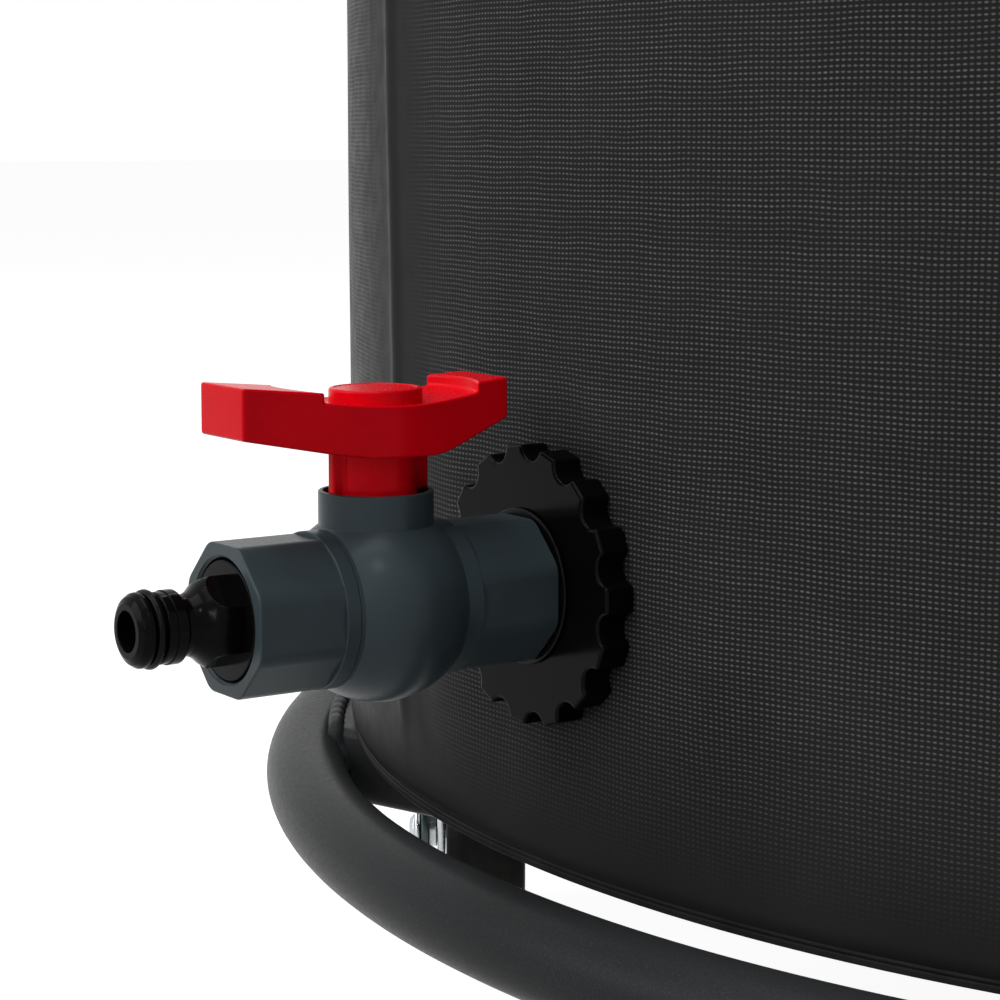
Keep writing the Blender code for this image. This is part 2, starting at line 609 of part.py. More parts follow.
def hose_nipple(black, rubber):
    """The quick connector's nose piece, screwed into the end socket, with its seal ring."""
    bore, thread = 4.1, 12.4
    profile = [(bore, 64), (thread, 64), (thread, 78.9), (9.5, 79.2), (9.5, 82.3), (8.4, 85.2), (6.2, 87)]
    profile += [(6.2, 90.6), (7.5, 91), (7.5, 93.5), (7.2, 95.6), (6.1, 95.6), (6.1, 98), (7.5, 98.2)]
    profile += [(7.5, 99.4), (6.6, 100.6), (5.5, VALVE_TIP / MM), (bore, VALVE_TIP / MM)]
    hexagon = prism(rounded_polygon(6, 17.4 * MM, 0.6 * MM, 1), 78 * MM, 83.4 * MM)
    hexagon = cut(hexagon, cylinder(7 * MM, 70 * MM, 90 * MM, SIDES))
    finish(join(turned(in_mm(profile), SIDES), hexagon), "hose_nipple", black, VALVE_PLACE)
    seal = arc((7.3 * MM, 96.8 * MM), 0.75 * MM, 0, 2 * math.pi, 6)[:-1]
    finish(turned(seal, SIDES), "hose_nipple_seal", rubber, VALVE_PLACE)


def main():
    clear_scene()
    steel = material("black_powder_coat", (0.02, 0.02, 0.02), 0.38)
    zinc = material("zinc_plate", (0.62, 0.64, 0.66), 0.25, 1.0)
    nylon = material("grey_nylon", (0.22, 0.22, 0.23), 0.5)
    rubber = material("black_rubber", (0.018, 0.018, 0.018), 0.6)
    fabric = material("coated_fabric", (0.018, 0.018, 0.018), 0.5)
    grey = material("grey_pvc", (0.028, 0.038, 0.044), 0.4)
    red = material("red_abs", (0.6, 0.008, 0.012), 0.3)
    black = material("black_plastic", (0.012, 0.012, 0.012), 0.28)
    white = material("white_acetal", (0.75, 0.75, 0.72), 0.4)
    frame_ring(steel)
    frame_bars(steel)
    castors(steel, zinc, nylon, rubber)
    tank_shell(fabric)
    tank_hoop_and_rods(white)
    cover_and_strainer(fabric, black)
    overflow(black)
    tank_outlet(black, rubber)
    front = valve_body(grey)
    valve_end_socket(front, grey)
    valve_seats(front, white)
    turning = axis_empty("valve_turn_axis", at(0, -TANK_RADIUS - STEM_AT, VALVE_HEIGHT))
    valve_ball(turning, white)
    valve_stem(turning, white)
    valve_handle(turning, red)
    hose_nipple(black, rubber)
    for thing in bpy.data.objects:
        if thing.parent is None:
            thing.matrix_basis = at(0, AXIS_FORWARD, 0) @ thing.matrix_basis


main()
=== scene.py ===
"""Looks of the wheeled water butt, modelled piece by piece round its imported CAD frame.

Metres, +Z up. The tank stands on a ring frame with castors, and its valve reaches out along -Y.
"""

import math

import bpy
from mathutils import Matrix, Vector, noise


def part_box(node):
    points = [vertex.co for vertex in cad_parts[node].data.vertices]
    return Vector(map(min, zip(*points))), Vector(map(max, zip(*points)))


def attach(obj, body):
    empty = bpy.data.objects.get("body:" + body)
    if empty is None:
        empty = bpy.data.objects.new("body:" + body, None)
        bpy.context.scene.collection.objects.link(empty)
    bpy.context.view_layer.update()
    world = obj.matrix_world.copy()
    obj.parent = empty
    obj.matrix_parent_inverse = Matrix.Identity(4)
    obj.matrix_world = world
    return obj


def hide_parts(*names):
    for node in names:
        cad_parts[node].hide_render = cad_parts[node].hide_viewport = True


bl_info = {
    "name": "Wheeled Water Butt",
    "version": (1, 0, 0),
    "blender": (4, 5, 0),
    "location": "View3D > Sidebar > Water Butt",
    "description": "Builds a fabric water butt on a ring frame with castors, piece by piece",
    "category": "Add Mesh",
}

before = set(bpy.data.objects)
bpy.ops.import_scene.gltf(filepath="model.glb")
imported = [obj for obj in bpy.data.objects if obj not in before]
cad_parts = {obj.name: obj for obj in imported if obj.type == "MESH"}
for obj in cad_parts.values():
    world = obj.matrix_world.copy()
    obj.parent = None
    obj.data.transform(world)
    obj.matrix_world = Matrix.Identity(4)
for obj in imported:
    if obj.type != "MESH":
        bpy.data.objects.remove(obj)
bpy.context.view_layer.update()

MM = 0.001
GAP = 0.3 * MM
FULL_TURN = 2 * math.pi

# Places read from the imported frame
tank_low, tank_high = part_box("tank_shell")
ring_low, ring_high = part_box("frame_ring")
socket_low, socket_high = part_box("valve_end_socket")
TANK_RADIUS = (tank_high.x - tank_low.x) / 2
TANK_FOOT = tank_low.z
TANK_TOP = tank_high.z
AXIS_Y = (tank_low.y + tank_high.y) / 2
RING_TUBE = (ring_high.z - ring_low.z) / 2
RING_HEIGHT = (ring_high.z + ring_low.z) / 2
RING_RADIUS = (ring_high.x - ring_low.x) / 2 - RING_TUBE
FRAME_TOP = ring_high.z
VALVE_HEIGHT = (socket_low.z + socket_high.z) / 2
COVER_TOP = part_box("cover")[1].z
SKIRT_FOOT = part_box("cover")[0].z
SKIRT_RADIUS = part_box("cover")[1].x
STRAINER_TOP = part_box("strainer")[1].z

# Sizes that the frame's boxes don't give, as in the CAD part
ROD_COUNT = 6
FIRST_ROD_ANGLE = math.radians(254.3)
ROD_RADIUS = 4 * MM
HOOP_TUBE = 6 * MM
HOOP_BELOW_RIM = 12 * MM
FOOT_ROUNDING = 6 * MM
BAR_ANGLE = math.radians(17.7)
BAR_WIDTH = 40 * MM
BAR_DEPTH = 20 * MM
LONG_BAR_OFFSET = 185.6 * MM
CROSS_BAR_OFFSET = 110 * MM
CASTOR_COUNT = 4
BRAKED_CASTORS = (1, 2)
CASTOR_CIRCLE = 286 * MM
FIRST_CASTOR_ANGLE = math.radians(212.7)
TRAIL_ANGLE = math.radians(145.8)
TRAIL = 22 * MM
WHEEL_RADIUS = 30 * MM
VALVE_ANGLE = math.radians(270)
STEM_AT = 43.3 * MM
OVERFLOW_ABOVE_FOOT = 620 * MM
OVERFLOW_ANGLE = math.radians(44)
COVER_HOLE = 75 * MM

# The nut and the bush's flange press the wall flat, this far inside its circle
NUT_SEAT = -1.5 * MM
# As photographed: a little wider than the CAD part's nut, and with one lobe more
NUT_RADIUS = 30.8 * MM
NUT_LOBES = 15

# Distance within which drawn points are the same point
MERGE = 0.001 * MM


def at(x, y, z):
    return Matrix.Translation((x, y, z))


def turn(angle, axis):
    return Matrix.Rotation(angle, 4, axis)


# Carries (x, y, z) of a drawn outline to (z, x, y), so that its thickness lies along X
SIDEWAYS = Matrix(((0, 0, 1, 0), (1, 0, 0, 0), (0, 1, 0, 0), (0, 0, 0, 1)))
AXIS = at(0, AXIS_Y, 0)

# In the valve's own frame +Z runs outwards along the pipe and +Y is up
VALVE = AXIS @ at(0, -TANK_RADIUS, VALVE_HEIGHT) @ turn(math.radians(90), "X")
LEVER = AXIS @ at(0, -TANK_RADIUS - STEM_AT, VALVE_HEIGHT)
OVERFLOW = (AXIS @ turn(OVERFLOW_ANGLE, "Z") @ at(TANK_RADIUS, 0, TANK_FOOT + OVERFLOW_ABOVE_FOOT)
            @ turn(math.radians(90), "Y"))


def linear(hex_colour):
    """A linear colour from an sRGB hex value."""
    channels = [int(hex_colour[i:i + 2], 16) / 255 for i in (1, 3, 5)]
    return tuple(c / 12.92 if c <= 0.04045 else ((c + 0.055) / 1.055) ** 2.4 for c in channels)


class WaterButtSizes(bpy.types.PropertyGroup):
    """Sizes of the finish that can be changed without touching the CAD part."""

    thread_gap: bpy.props.FloatProperty(
        name="Thread Spacing", description="Height of one row of the fabric's threads",
        default=1.13 * MM, min=0.0005, max=0.005, precision=5, unit="LENGTH")
    thread_columns: bpy.props.IntProperty(
        name="Thread Columns", description="Stitches of the scrim round the tank", default=1380, min=200)
    fabric: bpy.props.FloatProperty(
        name="Fabric", description="Thickness of the coated fabric", default=0.8 * MM, unit="LENGTH")
    rod_ridge: bpy.props.FloatProperty(
        name="Rod Ridge", description="How far a rod pushes the wall out", default=1.3 * MM, unit="LENGTH")
    crease: bpy.props.FloatProperty(
        name="Creases", description="Depth of the slack in the wall", default=0.8 * MM, unit="LENGTH")
    weld: bpy.props.FloatProperty(
        name="Weld", description="Radius of the weld beads on the frame", default=2.3 * MM, unit="LENGTH")
    weld_ripple: bpy.props.FloatProperty(
        name="Weld Ripple", description="Length of one ripple of a weld bead", default=7 * MM, unit="LENGTH")
    edge: bpy.props.FloatProperty(
        name="Moulded Edge", description="Rounding of the lever's edges", default=0.6 * MM, unit="LENGTH")


class WaterButtColours(bpy.types.PropertyGroup):
    """Colours of the materials."""

    fabric: bpy.props.FloatVectorProperty(
        name="Fabric", description="Coating between the threads", subtype="COLOR", default=linear("#262627"))
    # The thread colour is partly painted highlight: it stands for the threads and for the sheen on their
    # raised bumps
    thread: bpy.props.FloatVectorProperty(
        name="Thread", description="Coating over the threads", subtype="COLOR", default=linear("#747575"))
    coat: bpy.props.FloatVectorProperty(
        name="Powder Coat", description="Paint of the steel frame", subtype="COLOR",
        default=linear("#2c2d2e"))
    valve: bpy.props.FloatVectorProperty(
        name="Valve", description="Slate grey PVC", subtype="COLOR", default=linear("#374145"))
    handle: bpy.props.FloatVectorProperty(
        name="Handle", description="Red ABS", subtype="COLOR", default=linear("#dc0216"))
    fitting: bpy.props.FloatVectorProperty(
        name="Fittings", description="Black polypropylene", subtype="COLOR", default=linear("#080809"))


def sizes():
    return bpy.context.scene.water_butt_sizes


def colours():
    return bpy.context.scene.water_butt_colours


# Modelling by hand


def select_only(piece):
    bpy.ops.object.select_all(action="DESELECT")
    piece.select_set(True)
    bpy.context.view_layer.objects.active = piece


def draw(points, closed=False):
    """Draws a line by extruding one vertex from point to point."""
    path = [Vector(point) for point in points]
    if closed:
        path.append(path[0])
    bpy.ops.object.select_all(action="DESELECT")
    bpy.ops.mesh.primitive_plane_add(size=1)
    bpy.ops.object.mode_set(mode="EDIT")
    bpy.ops.mesh.select_all(action="SELECT")
    bpy.ops.mesh.merge(type="CENTER")
    bpy.ops.transform.translate(value=path[0])
    for here, there in zip(path, path[1:]):
        bpy.ops.mesh.extrude_vertices_move(TRANSFORM_OT_translate={"value": there - here})
    bpy.ops.mesh.select_all(action="SELECT")
    bpy.ops.mesh.remove_doubles(threshold=MERGE)


def tidied():
    """Merges doubles, turns the faces outwards, and gives the piece back in object mode."""
    bpy.ops.mesh.select_all(action="SELECT")
    bpy.ops.mesh.remove_doubles(threshold=MERGE)
    bpy.ops.mesh.normals_make_consistent(inside=False)
    bpy.ops.object.mode_set(mode="OBJECT")
    return bpy.context.object


def turned(profile, steps=64):
    """Spins (radius, height) points about Z. A profile that ends off the axis is closed into a ring."""
    draw([(radius, 0, height) for radius, height in profile], closed=min(profile[0][0], profile[-1][0]) > 0)
    bpy.ops.mesh.select_all(action="SELECT")
    bpy.ops.mesh.spin(steps=steps, angle=FULL_TURN, center=(0, 0, 0), axis=(0, 0, 1))
    return tidied()


def extruded(outline, low, high):
    """Fills an outline of (x, y) points and extrudes it from one height to another."""
    draw([(x, y, low) for x, y in outline], closed=True)
    bpy.ops.mesh.edge_face_add()
    bpy.ops.mesh.extrude_region_move(TRANSFORM_OT_translate={"value": (0, 0, high - low)})
    return tidied()


def slab(low, high):
    """A block between two corners, in millimetres."""
    (x0, y0, z0), (x1, y1, z1) = low, high
    return extruded(in_mm([(x0, y0), (x1, y0), (x1, y1), (x0, y1)]), z0 * MM, z1 * MM)


def lathed(corners, steps=96, roundness=4):
    """Spins an outline in millimetres. A corner may have a radius as its third number."""
    return turned(softened(in_mm(corners), roundness), steps)


def drill(radius, low, high, steps=48):
    """A round cutter about Z, in millimetres."""
    return lathed([(0, low), (radius, low), (radius, high), (0, high)], steps)


def modified(piece, kind, **settings):
    """Adds a modifier with its settings and applies it."""
    step = piece.modifiers.new(kind.title(), kind)
    for name, value in settings.items():
        setattr(step, name, value)
    select_only(piece)
    bpy.ops.object.modifier_apply(modifier=step.name)
    return piece


def bevelled(piece, width, segments=3, sharper_than=35, clamped=True):
    return modified(piece, "BEVEL", width=width, segments=segments, limit_method="ANGLE",
                    angle_limit=math.radians(sharper_than), use_clamp_overlap=clamped)


def combined(piece, operation, *others):
    """Joins, cuts or intersects a piece with others, which are used up."""
    for other in others:
        modified(piece, "BOOLEAN", object=other, operation=operation, solver="EXACT")
        bpy.data.objects.remove(other, do_unlink=True)
    if not piece.data.polygons:
        raise RuntimeError(f"{operation} left nothing of {piece.name}")
    return piece


def placed(piece, place):
    """Carries a piece to its place and applies it, so that its object sits at the origin."""
    piece.matrix_world = place @ piece.matrix_world
    select_only(piece)
    bpy.ops.object.transform_apply(location=True, rotation=True, scale=True)
    return piece


def copied(piece, place):
    """A copy with its own mesh, carried to another place."""
    select_only(piece)
    bpy.ops.object.duplicate(linked=False)
    return placed(bpy.context.object, place)


def joined(pieces):
    """Makes one object of several."""
    bpy.ops.object.select_all(action="DESELECT")
    for piece in pieces:
        piece.select_set(True)
    bpy.context.view_layer.objects.active = pieces[0]
    bpy.ops.object.join()
    return pieces[0]


def repeated(piece, count):
    """One object of a piece and its copies, evenly round Z."""
    return joined([piece] + [copied(piece, turn(FULL_TURN * i / count, "Z")) for i in range(1, count)])


def finished(piece, name, made_of, body="root", stands_for=(), smooth_under=35):
    """Names a piece, shades it, gives it its material, and lets it ride on its body."""
    piece.name = name
    piece.data.name = name
    piece.data.materials.clear()
    piece.data.materials.append(bpy.data.materials[made_of])
    select_only(piece)
    bpy.ops.object.shade_smooth_by_angle(angle=math.radians(smooth_under))
    # Large flats keep their own shade beside the small faces of a rounded edge
    modified(piece, "WEIGHTED_NORMAL", keep_sharp=True)
    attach(piece, body)
    if stands_for:
        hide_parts(*stands_for)
    return piece


def softened(corners, steps=4):
    """Rounds each corner of a drawn outline that has a radius as its third number."""
    points = []
    for i, corner in enumerate(corners):
        here = Vector(corner[:2])
        radius = corner[2] if len(corner) > 2 else 0
        if not radius:
            points.append(here)
            continue
        back = (Vector(corners[i - 1][:2]) - here).normalized()
        onward = (Vector(corners[(i + 1) % len(corners)][:2]) - here).normalized()
        half = back.angle(onward) / 2
        centre = here + (back + onward).normalized() * radius / math.sin(half)
        start = here + back * radius / math.tan(half) - centre
        end = here + onward * radius / math.tan(half) - centre
        points += [centre + start.lerp(end, k / steps).normalized() * radius for k in range(steps + 1)]
    return [(point.x, point.y) for point in points]


def in_mm(corners):
    return [tuple(value * MM for value in corner) for corner in corners]


def heights(node):
    """How high the lowest and the highest point of a node of the frame lie."""
    low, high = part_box(node)
    return low.z, high.z


def arc(centre, radius, start, end, steps):
    """Points along an arc, both ends among them."""
    angles = [start + (end - start) * i / steps for i in range(steps + 1)]
    return [(centre[0] + radius * math.cos(a), centre[1] + radius * math.sin(a)) for a in angles]


def polygon(sides, across_flats, corner, steps=4):
    """A regular polygon with a flat at each end of Y and round corners, in millimetres."""
    reach = across_flats / 2 / math.cos(math.pi / sides)
    angles = [math.pi / 2 + (2 * i + 1) * math.pi / sides for i in range(sides)]
    return softened(in_mm([(reach * math.cos(a), reach * math.sin(a), corner) for a in angles]), steps)


def bell(distance, width):
    """1 at no distance, and about a third one width away."""
    return math.exp(-((distance / width) ** 2))


def smooth_step(value, start, end):
    """0 up to the start, 1 from the end, and an even slope between them."""
    share = min(max((value - start) / (end - start), 0), 1)
    return share * share * (3 - 2 * share)


# Materials


def add_node(tree, kind, inputs=None, **settings):
    """Adds a node with its settings. An input is set to a value, or linked to a socket or a node."""
    node = tree.nodes.new(kind)
    for name, value in settings.items():
        setattr(node, name, value)
    for name, value in (inputs or {}).items():
        source = value.outputs[0] if isinstance(value, bpy.types.Node) else value
        if isinstance(source, bpy.types.NodeSocket):
            tree.links.new(source, node.inputs[name])
        else:
            node.inputs[name].default_value = source
    return node


def new_material(name):
    """An empty node material: its tree, and its Object coordinates."""
    if name in bpy.data.materials:
        raise RuntimeError(f"the packed model already has a material named {name}")
    material = bpy.data.materials.new(name)
    material.use_nodes = True
    tree = material.node_tree
    tree.nodes.clear()
    return tree, add_node(tree, "ShaderNodeTexCoord").outputs["Object"]


def shade(colour, factor=1.0):
    """A lighter or darker version of a colour, with the alpha that sockets want."""
    return tuple(min(channel * factor, 1) for channel in colour[:3]) + (1,)


# Levels between which a noise texture mostly stays
NOISE_LOW = 0.3
NOISE_HIGH = 0.7


def grained(name, dark, light, patch, grain, roughness, depth, patches=(NOISE_LOW, NOISE_HIGH),
            stretch=(1, 1, 1), **gloss):
    """A finish whose colour drifts between two shades in patches, and whose fine grain breaks its gloss.

    Patch and grain are the sizes of their blotches, and depth is the height of the grain. Patches are
    the noise levels between which the colour drifts. A stretch under 1 draws the grain out that way.
    """
    tree, place = new_material(name)
    cloud = add_node(tree, "ShaderNodeTexNoise", {"Vector": place, "Scale": 1 / patch, "Detail": 3})
    least, most = patches
    drift = add_node(tree, "ShaderNodeMapRange", {"Value": cloud, "From Min": least, "From Max": most})
    colour = add_node(tree, "ShaderNodeMix", {0: drift, 6: dark, 7: light}, data_type="RGBA")
    lengthened = add_node(tree, "ShaderNodeMapping", {"Vector": place, "Scale": stretch})
    fine = add_node(tree, "ShaderNodeTexNoise", {"Vector": lengthened, "Scale": 1 / grain, "Detail": 3})
    uneven = add_node(tree, "ShaderNodeMapRange", {
        "Value": fine, "From Min": NOISE_LOW, "From Max": NOISE_HIGH,
        "To Min": roughness - 0.05, "To Max": roughness + 0.06})
    relief = add_node(tree, "ShaderNodeBump", {"Height": fine, "Distance": depth, "Strength": 0.5})
    inputs = {"Base Color": colour.outputs[2], "Roughness": uneven, "Normal": relief}
    inputs.update({socket.replace("_", " "): value for socket, value in gloss.items()})
    shader = add_node(tree, "ShaderNodeBsdfPrincipled", inputs)
    add_node(tree, "ShaderNodeOutputMaterial", {"Surface": shader})


def coated_scrim_fabric():
    """PVC coated polyester scrim: a black film that shows each thread of the net as a paler dash. The dashes
    are partly painted highlight: their paler colour stands for the threads and also for the sheen their
    raised bumps catch.

    It reads the UV map, in metres round and up the wall, and the attribute that fades the dashes
    where the rod pockets and hems are welded flat.
    """
    tree, place = new_material("coated_scrim_fabric")
    column = FULL_TURN * TANK_RADIUS / sizes().thread_columns
    # The net sways within about half a stitch, as it lies in the film
    swing = 0.8 * MM
    # A dash covers about three quarters of a stitch's width and half its height
    half_width, half_height = 0.38, 0.23
    cloth = add_node(tree, "ShaderNodeUVMap", uv_map="cloth")
    wave = add_node(tree, "ShaderNodeTexNoise", {"Vector": cloth, "Scale": 1 / (16 * MM), "Detail": 1},
                    noise_dimensions="2D")
    sway = add_node(tree, "ShaderNodeVectorMath", {
        0: wave.outputs["Color"], 1: (swing, swing, 0), 2: cloth}, operation="MULTIPLY_ADD")
    net = add_node(tree, "ShaderNodeVectorMath", {0: sway, 1: (1 / column, 1 / sizes().thread_gap, 0)},
                   operation="MULTIPLY")
    cell = add_node(tree, "ShaderNodeVectorMath", {0: net}, operation="FLOOR")
    whole_row = add_node(tree, "ShaderNodeVectorMath", {0: cell, 1: (0, 1, 0)}, operation="MULTIPLY")
    inside = add_node(tree, "ShaderNodeVectorMath", {0: net}, operation="FRACTION")
    centred = add_node(tree, "ShaderNodeVectorMath", {0: inside, 1: (0.5, 0.5, 0)}, operation="SUBTRACT")
    oval = add_node(tree, "ShaderNodeVectorMath", {0: centred, 1: (1 / half_width, 1 / half_height, 0)},
                    operation="MULTIPLY")
    reach = add_node(tree, "ShaderNodeVectorMath", {0: oval}, operation="LENGTH")
    shown = add_node(tree, "ShaderNodeMapRange", {
        "Value": reach.outputs["Value"], "From Min": 0.35, "From Max": 1.15, "To Min": 1, "To Max": 0})
    # Each thread, each row and each patch lies at its own depth under the coating
    thread_depth = add_node(tree, "ShaderNodeTexWhiteNoise", {"Vector": cell}, noise_dimensions="2D")
    row_depth = add_node(tree, "ShaderNodeTexWhiteNoise", {"Vector": whole_row}, noise_dimensions="2D")
    wear = add_node(tree, "ShaderNodeTexNoise", {"Vector": place, "Scale": 1 / (9 * MM), "Detail": 3})
    for depth, least in ((thread_depth, 0.7), (row_depth, 0.74), (wear, 0.5)):
        part = add_node(tree, "ShaderNodeMapRange", {"Value": depth, "To Min": least, "To Max": 1.02})
        shown = add_node(tree, "ShaderNodeMath", {0: shown, 1: part}, operation="MULTIPLY")
    welded = add_node(tree, "ShaderNodeAttribute", attribute_name="threads").outputs["Fac"]
    shown = add_node(tree, "ShaderNodeMath", {0: shown, 1: welded}, operation="MULTIPLY")
    cloud = add_node(tree, "ShaderNodeTexNoise", {"Vector": place, "Scale": 1 / (45 * MM), "Detail": 3})
    film = add_node(tree, "ShaderNodeMix", {
        0: cloud, 6: shade(colours().fabric, 0.75), 7: shade(colours().fabric, 1.35)}, data_type="RGBA")
    # Partly painted highlight: the paler thread colour on the dashes also stands for the sheen that the
    # threads' bumps catch
    colour = add_node(tree, "ShaderNodeMix", {0: shown, 6: film.outputs[2], 7: shade(colours().thread)},
                      data_type="RGBA")
    haze = add_node(tree, "ShaderNodeTexNoise", {"Vector": place, "Scale": 1 / (6 * MM), "Detail": 4})
    uneven = add_node(tree, "ShaderNodeMapRange", {
        "Value": haze, "From Min": NOISE_LOW, "From Max": NOISE_HIGH, "To Min": 0.31, "To Max": 0.42})
    relief = add_node(tree, "ShaderNodeBump", {"Height": shown, "Distance": 0.06 * MM, "Strength": 0.8})
    shader = add_node(tree, "ShaderNodeBsdfPrincipled", {
        "Base Color": colour.outputs[2], "Roughness": uneven, "Normal": relief, "IOR": 1.5,
        "Specular IOR Level": 0.01})
    add_node(tree, "ShaderNodeOutputMaterial", {"Surface": shader})


def welded_fabric_edge():
    """The same film where it is folded and heat welded: no threads show, and the surface is waxy."""
    film = colours().fabric
    grained("welded_fabric_edge", shade(film, 0.9), shade(film, 1.4), patch=12 * MM, grain=0.7 * MM,
            roughness=0.4, depth=0.02 * MM, IOR=1.5, Specular_IOR_Level=0.01)


def powder_coated_steel():
    """Baked powder paint: satin black, with slight orange peel and a sparkle of paler grains. The grains'
    paler colour is a painted glint, standing for the sparkle that the coat catches in the light.

    The grains are finer than a pixel, so they are drawn at 0.35 mm. On a weld the paint lies rougher.
    """
    coat = colours().coat
    for name, peel, roughness, depth in (("powder_coated_tube", 1.1 * MM, 0.36, 0.01 * MM),
                                         ("powder_coated_weld", 0.8 * MM, 0.42, 0.02 * MM)):
        # Painted glints: the paler shade of the fine patches stands for the coat's sparkle
        grained(name, shade(coat), shade(coat, 1.7), patch=0.35 * MM, patches=(0.52, 0.72), grain=peel,
                roughness=roughness, depth=depth, IOR=1.5, Specular_IOR_Level=0.04)


def zinc_plated_steel():
    """Electroplated zinc over pressed steel: bright or passivated black, with faint rolling lines. The black
    plate's dark colour is partly painted shade, for the shade inside the brake lever's cheek.
    """
    # The black plate's dark colour is partly painted shade, for the shaded gap inside the brake lever's cheek
    for name, colour, roughness in (("bright_zinc_plate", "#c9cdd0", 0.27),
                                    ("black_zinc_and_painted_shade", "#46504c", 0.36)):
        zinc = linear(colour)
        grained(name, shade(zinc, 0.82), shade(zinc), patch=9 * MM, grain=0.9 * MM, stretch=(1, 1, 0.06),
                roughness=roughness, depth=0.003 * MM, Metallic=1)


def moulded_rubber():
    """Tyres are matt, with a trace of dust in their grain. Seals are clean and a little glossier."""
    for name, colour, dusty, roughness in (("natural_tyre_rubber", "#171717", "#2a2927", 0.46),
                                           ("nitrile_rubber", "#070708", "#0a0a0b", 0.28)):
        grained(name, shade(linear(colour)), shade(linear(dusty)), patch=7 * MM, patches=(0.45, 0.75),
                grain=0.6 * MM, roughness=roughness, depth=0.01 * MM, IOR=1.52, Specular_IOR_Level=0.06)


def moulded_plastic(name, colour, roughness, specular):
    """Injection moulded plastic: even colour, and a gloss that the mould's fine grain breaks up."""
    grained(name, shade(colour, 0.9), shade(colour, 1.1), patch=18 * MM, grain=0.5 * MM, roughness=roughness,
            depth=0.003 * MM, IOR=1.49, Specular_IOR_Level=specular)


def make_materials():
    coated_scrim_fabric()
    welded_fabric_edge()
    powder_coated_steel()
    zinc_plated_steel()
    moulded_rubber()
    # Ball valve PVC is a slate grey with a soft sheen
    moulded_plastic("slate_pvc", colours().valve, 0.32, 0.12)
    # The ABS lever is a saturated red, glossier than the PVC
    moulded_plastic("red_abs", colours().handle, 0.26, 0.06)
    # Polypropylene and glass filled nylon fittings are black and fairly glossy
    moulded_plastic("black_polypropylene", colours().fitting, 0.16, 0.04)
    # The nylon wheel core is grey and matt
    moulded_plastic("moulded_nylon", linear("#7f8284"), 0.48, 0.5)
    # The valve's ball, stem and seats, the hoop and the pocket rods are milky white
    moulded_plastic("white_acetal", linear("#dedcd3"), 0.34, 0.5)


def dress_inner_parts():
    """The ball, its stem and seats keep their CAD shape and get moulded acetal."""
    for name in ("valve_ball", "valve_stem", "valve_rear_seat", "valve_front_seat"):
        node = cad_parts[name]
        node.data.materials.clear()
        node.data.materials.append(bpy.data.materials["white_acetal"])


# Tank


def ridge_centre(rod, height):
    """Where a rod's ridge runs: it wanders a little, as the fabric is slack round it."""
    angle = FIRST_ROD_ANGLE + rod * FULL_TURN / ROD_COUNT
    above_foot = height - TANK_FOOT
    lean = math.radians(1.6) * math.exp(-above_foot / (60 * MM))
    sway = math.radians(0.9) * math.sin(above_foot / (70 * MM) + 2.2 * rod + 0.4)
    return angle + lean + sway


def angle_between(first, second):
    return (first - second + math.pi) % FULL_TURN - math.pi


def nearest_rod(angle):
    return round((angle - FIRST_ROD_ANGLE) / FULL_TURN * ROD_COUNT)


def wall_offset(angle, height):
    """How far the slack wall stands from its circle, in metres."""
    rod = nearest_rod(angle)
    along = angle_between(angle, ridge_centre(rod, height)) * TANK_RADIUS
    above = height - TANK_FOOT
    # The hem at the foot and the hoop at the rim hold the wall to its circle
    fade = smooth_step(above, 8 * MM, 30 * MM) * smooth_step(TANK_TOP - height, 45 * MM, 80 * MM)
    # A rod raises a narrow crest on a broad shoulder
    crest, shoulder = bell(along, 3.2 * MM), bell(along, 13 * MM)
    ridge = sizes().rod_ridge * (0.62 * crest + 0.38 * shoulder)
    slack_width, slack_height = 85 * MM, 130 * MM
    point = Vector((math.cos(angle), math.sin(angle), 0)) * TANK_RADIUS / slack_width
    slack = noise.noise(point + Vector((0, 0, height / slack_height))) * sizes().crease
    loose = (ridge + slack) * fade
    # The clamped outlet holds the wall flat, and short creases run out from it
    hold = 42 * MM
    side = angle_between(angle, VALVE_ANGLE) * TANK_RADIUS
    up = height - VALVE_HEIGHT
    away = math.hypot(side, up)
    held = 1 - smooth_step(away, NUT_RADIUS, NUT_RADIUS + hold)
    flat = NUT_SEAT + side**2 / (2 * TANK_RADIUS)
    crease = 0.35 * MM * math.sin(7 * math.atan2(up, side) + 1.1) * bell(away - NUT_RADIUS - 9 * MM, 8 * MM)
    return loose + (flat - loose) * held + crease


def threads_shown(angle, height):
    """1 where the threads show through, 0 where a pocket or hem is welded flat."""
    rod = nearest_rod(angle)
    along = abs(angle_between(angle, ridge_centre(rod, height))) * TANK_RADIUS
    above = height - TANK_FOOT
    return smooth_step(along, 6 * MM, 44 * MM) * smooth_step(above, 4 * MM, 55 * MM)


def wall_profile():
    """(radius, height) down the wall, round the foot and in to the middle of the floor."""
    # Rows lie closer together up to this height, past the outlet and its creases
    dense = TANK_FOOT + 159 * MM
    upper_rows, lower_rows, floor_rings = 45, 52, 5
    wall = [TANK_TOP - (TANK_TOP - dense) * i / upper_rows for i in range(upper_rows)]
    wall += [dense - 3 * MM * i for i in range(lower_rows)]
    profile = [(TANK_RADIUS, height) for height in wall]
    corner = (TANK_RADIUS - FOOT_ROUNDING, TANK_FOOT + FOOT_ROUNDING)
    profile += arc(corner, FOOT_ROUNDING, 0, -math.pi / 2, 8)
    floor = TANK_RADIUS - FOOT_ROUNDING
    return profile + [(floor * (1 - i / floor_rings), TANK_FOOT) for i in range(1, floor_rings + 1)]


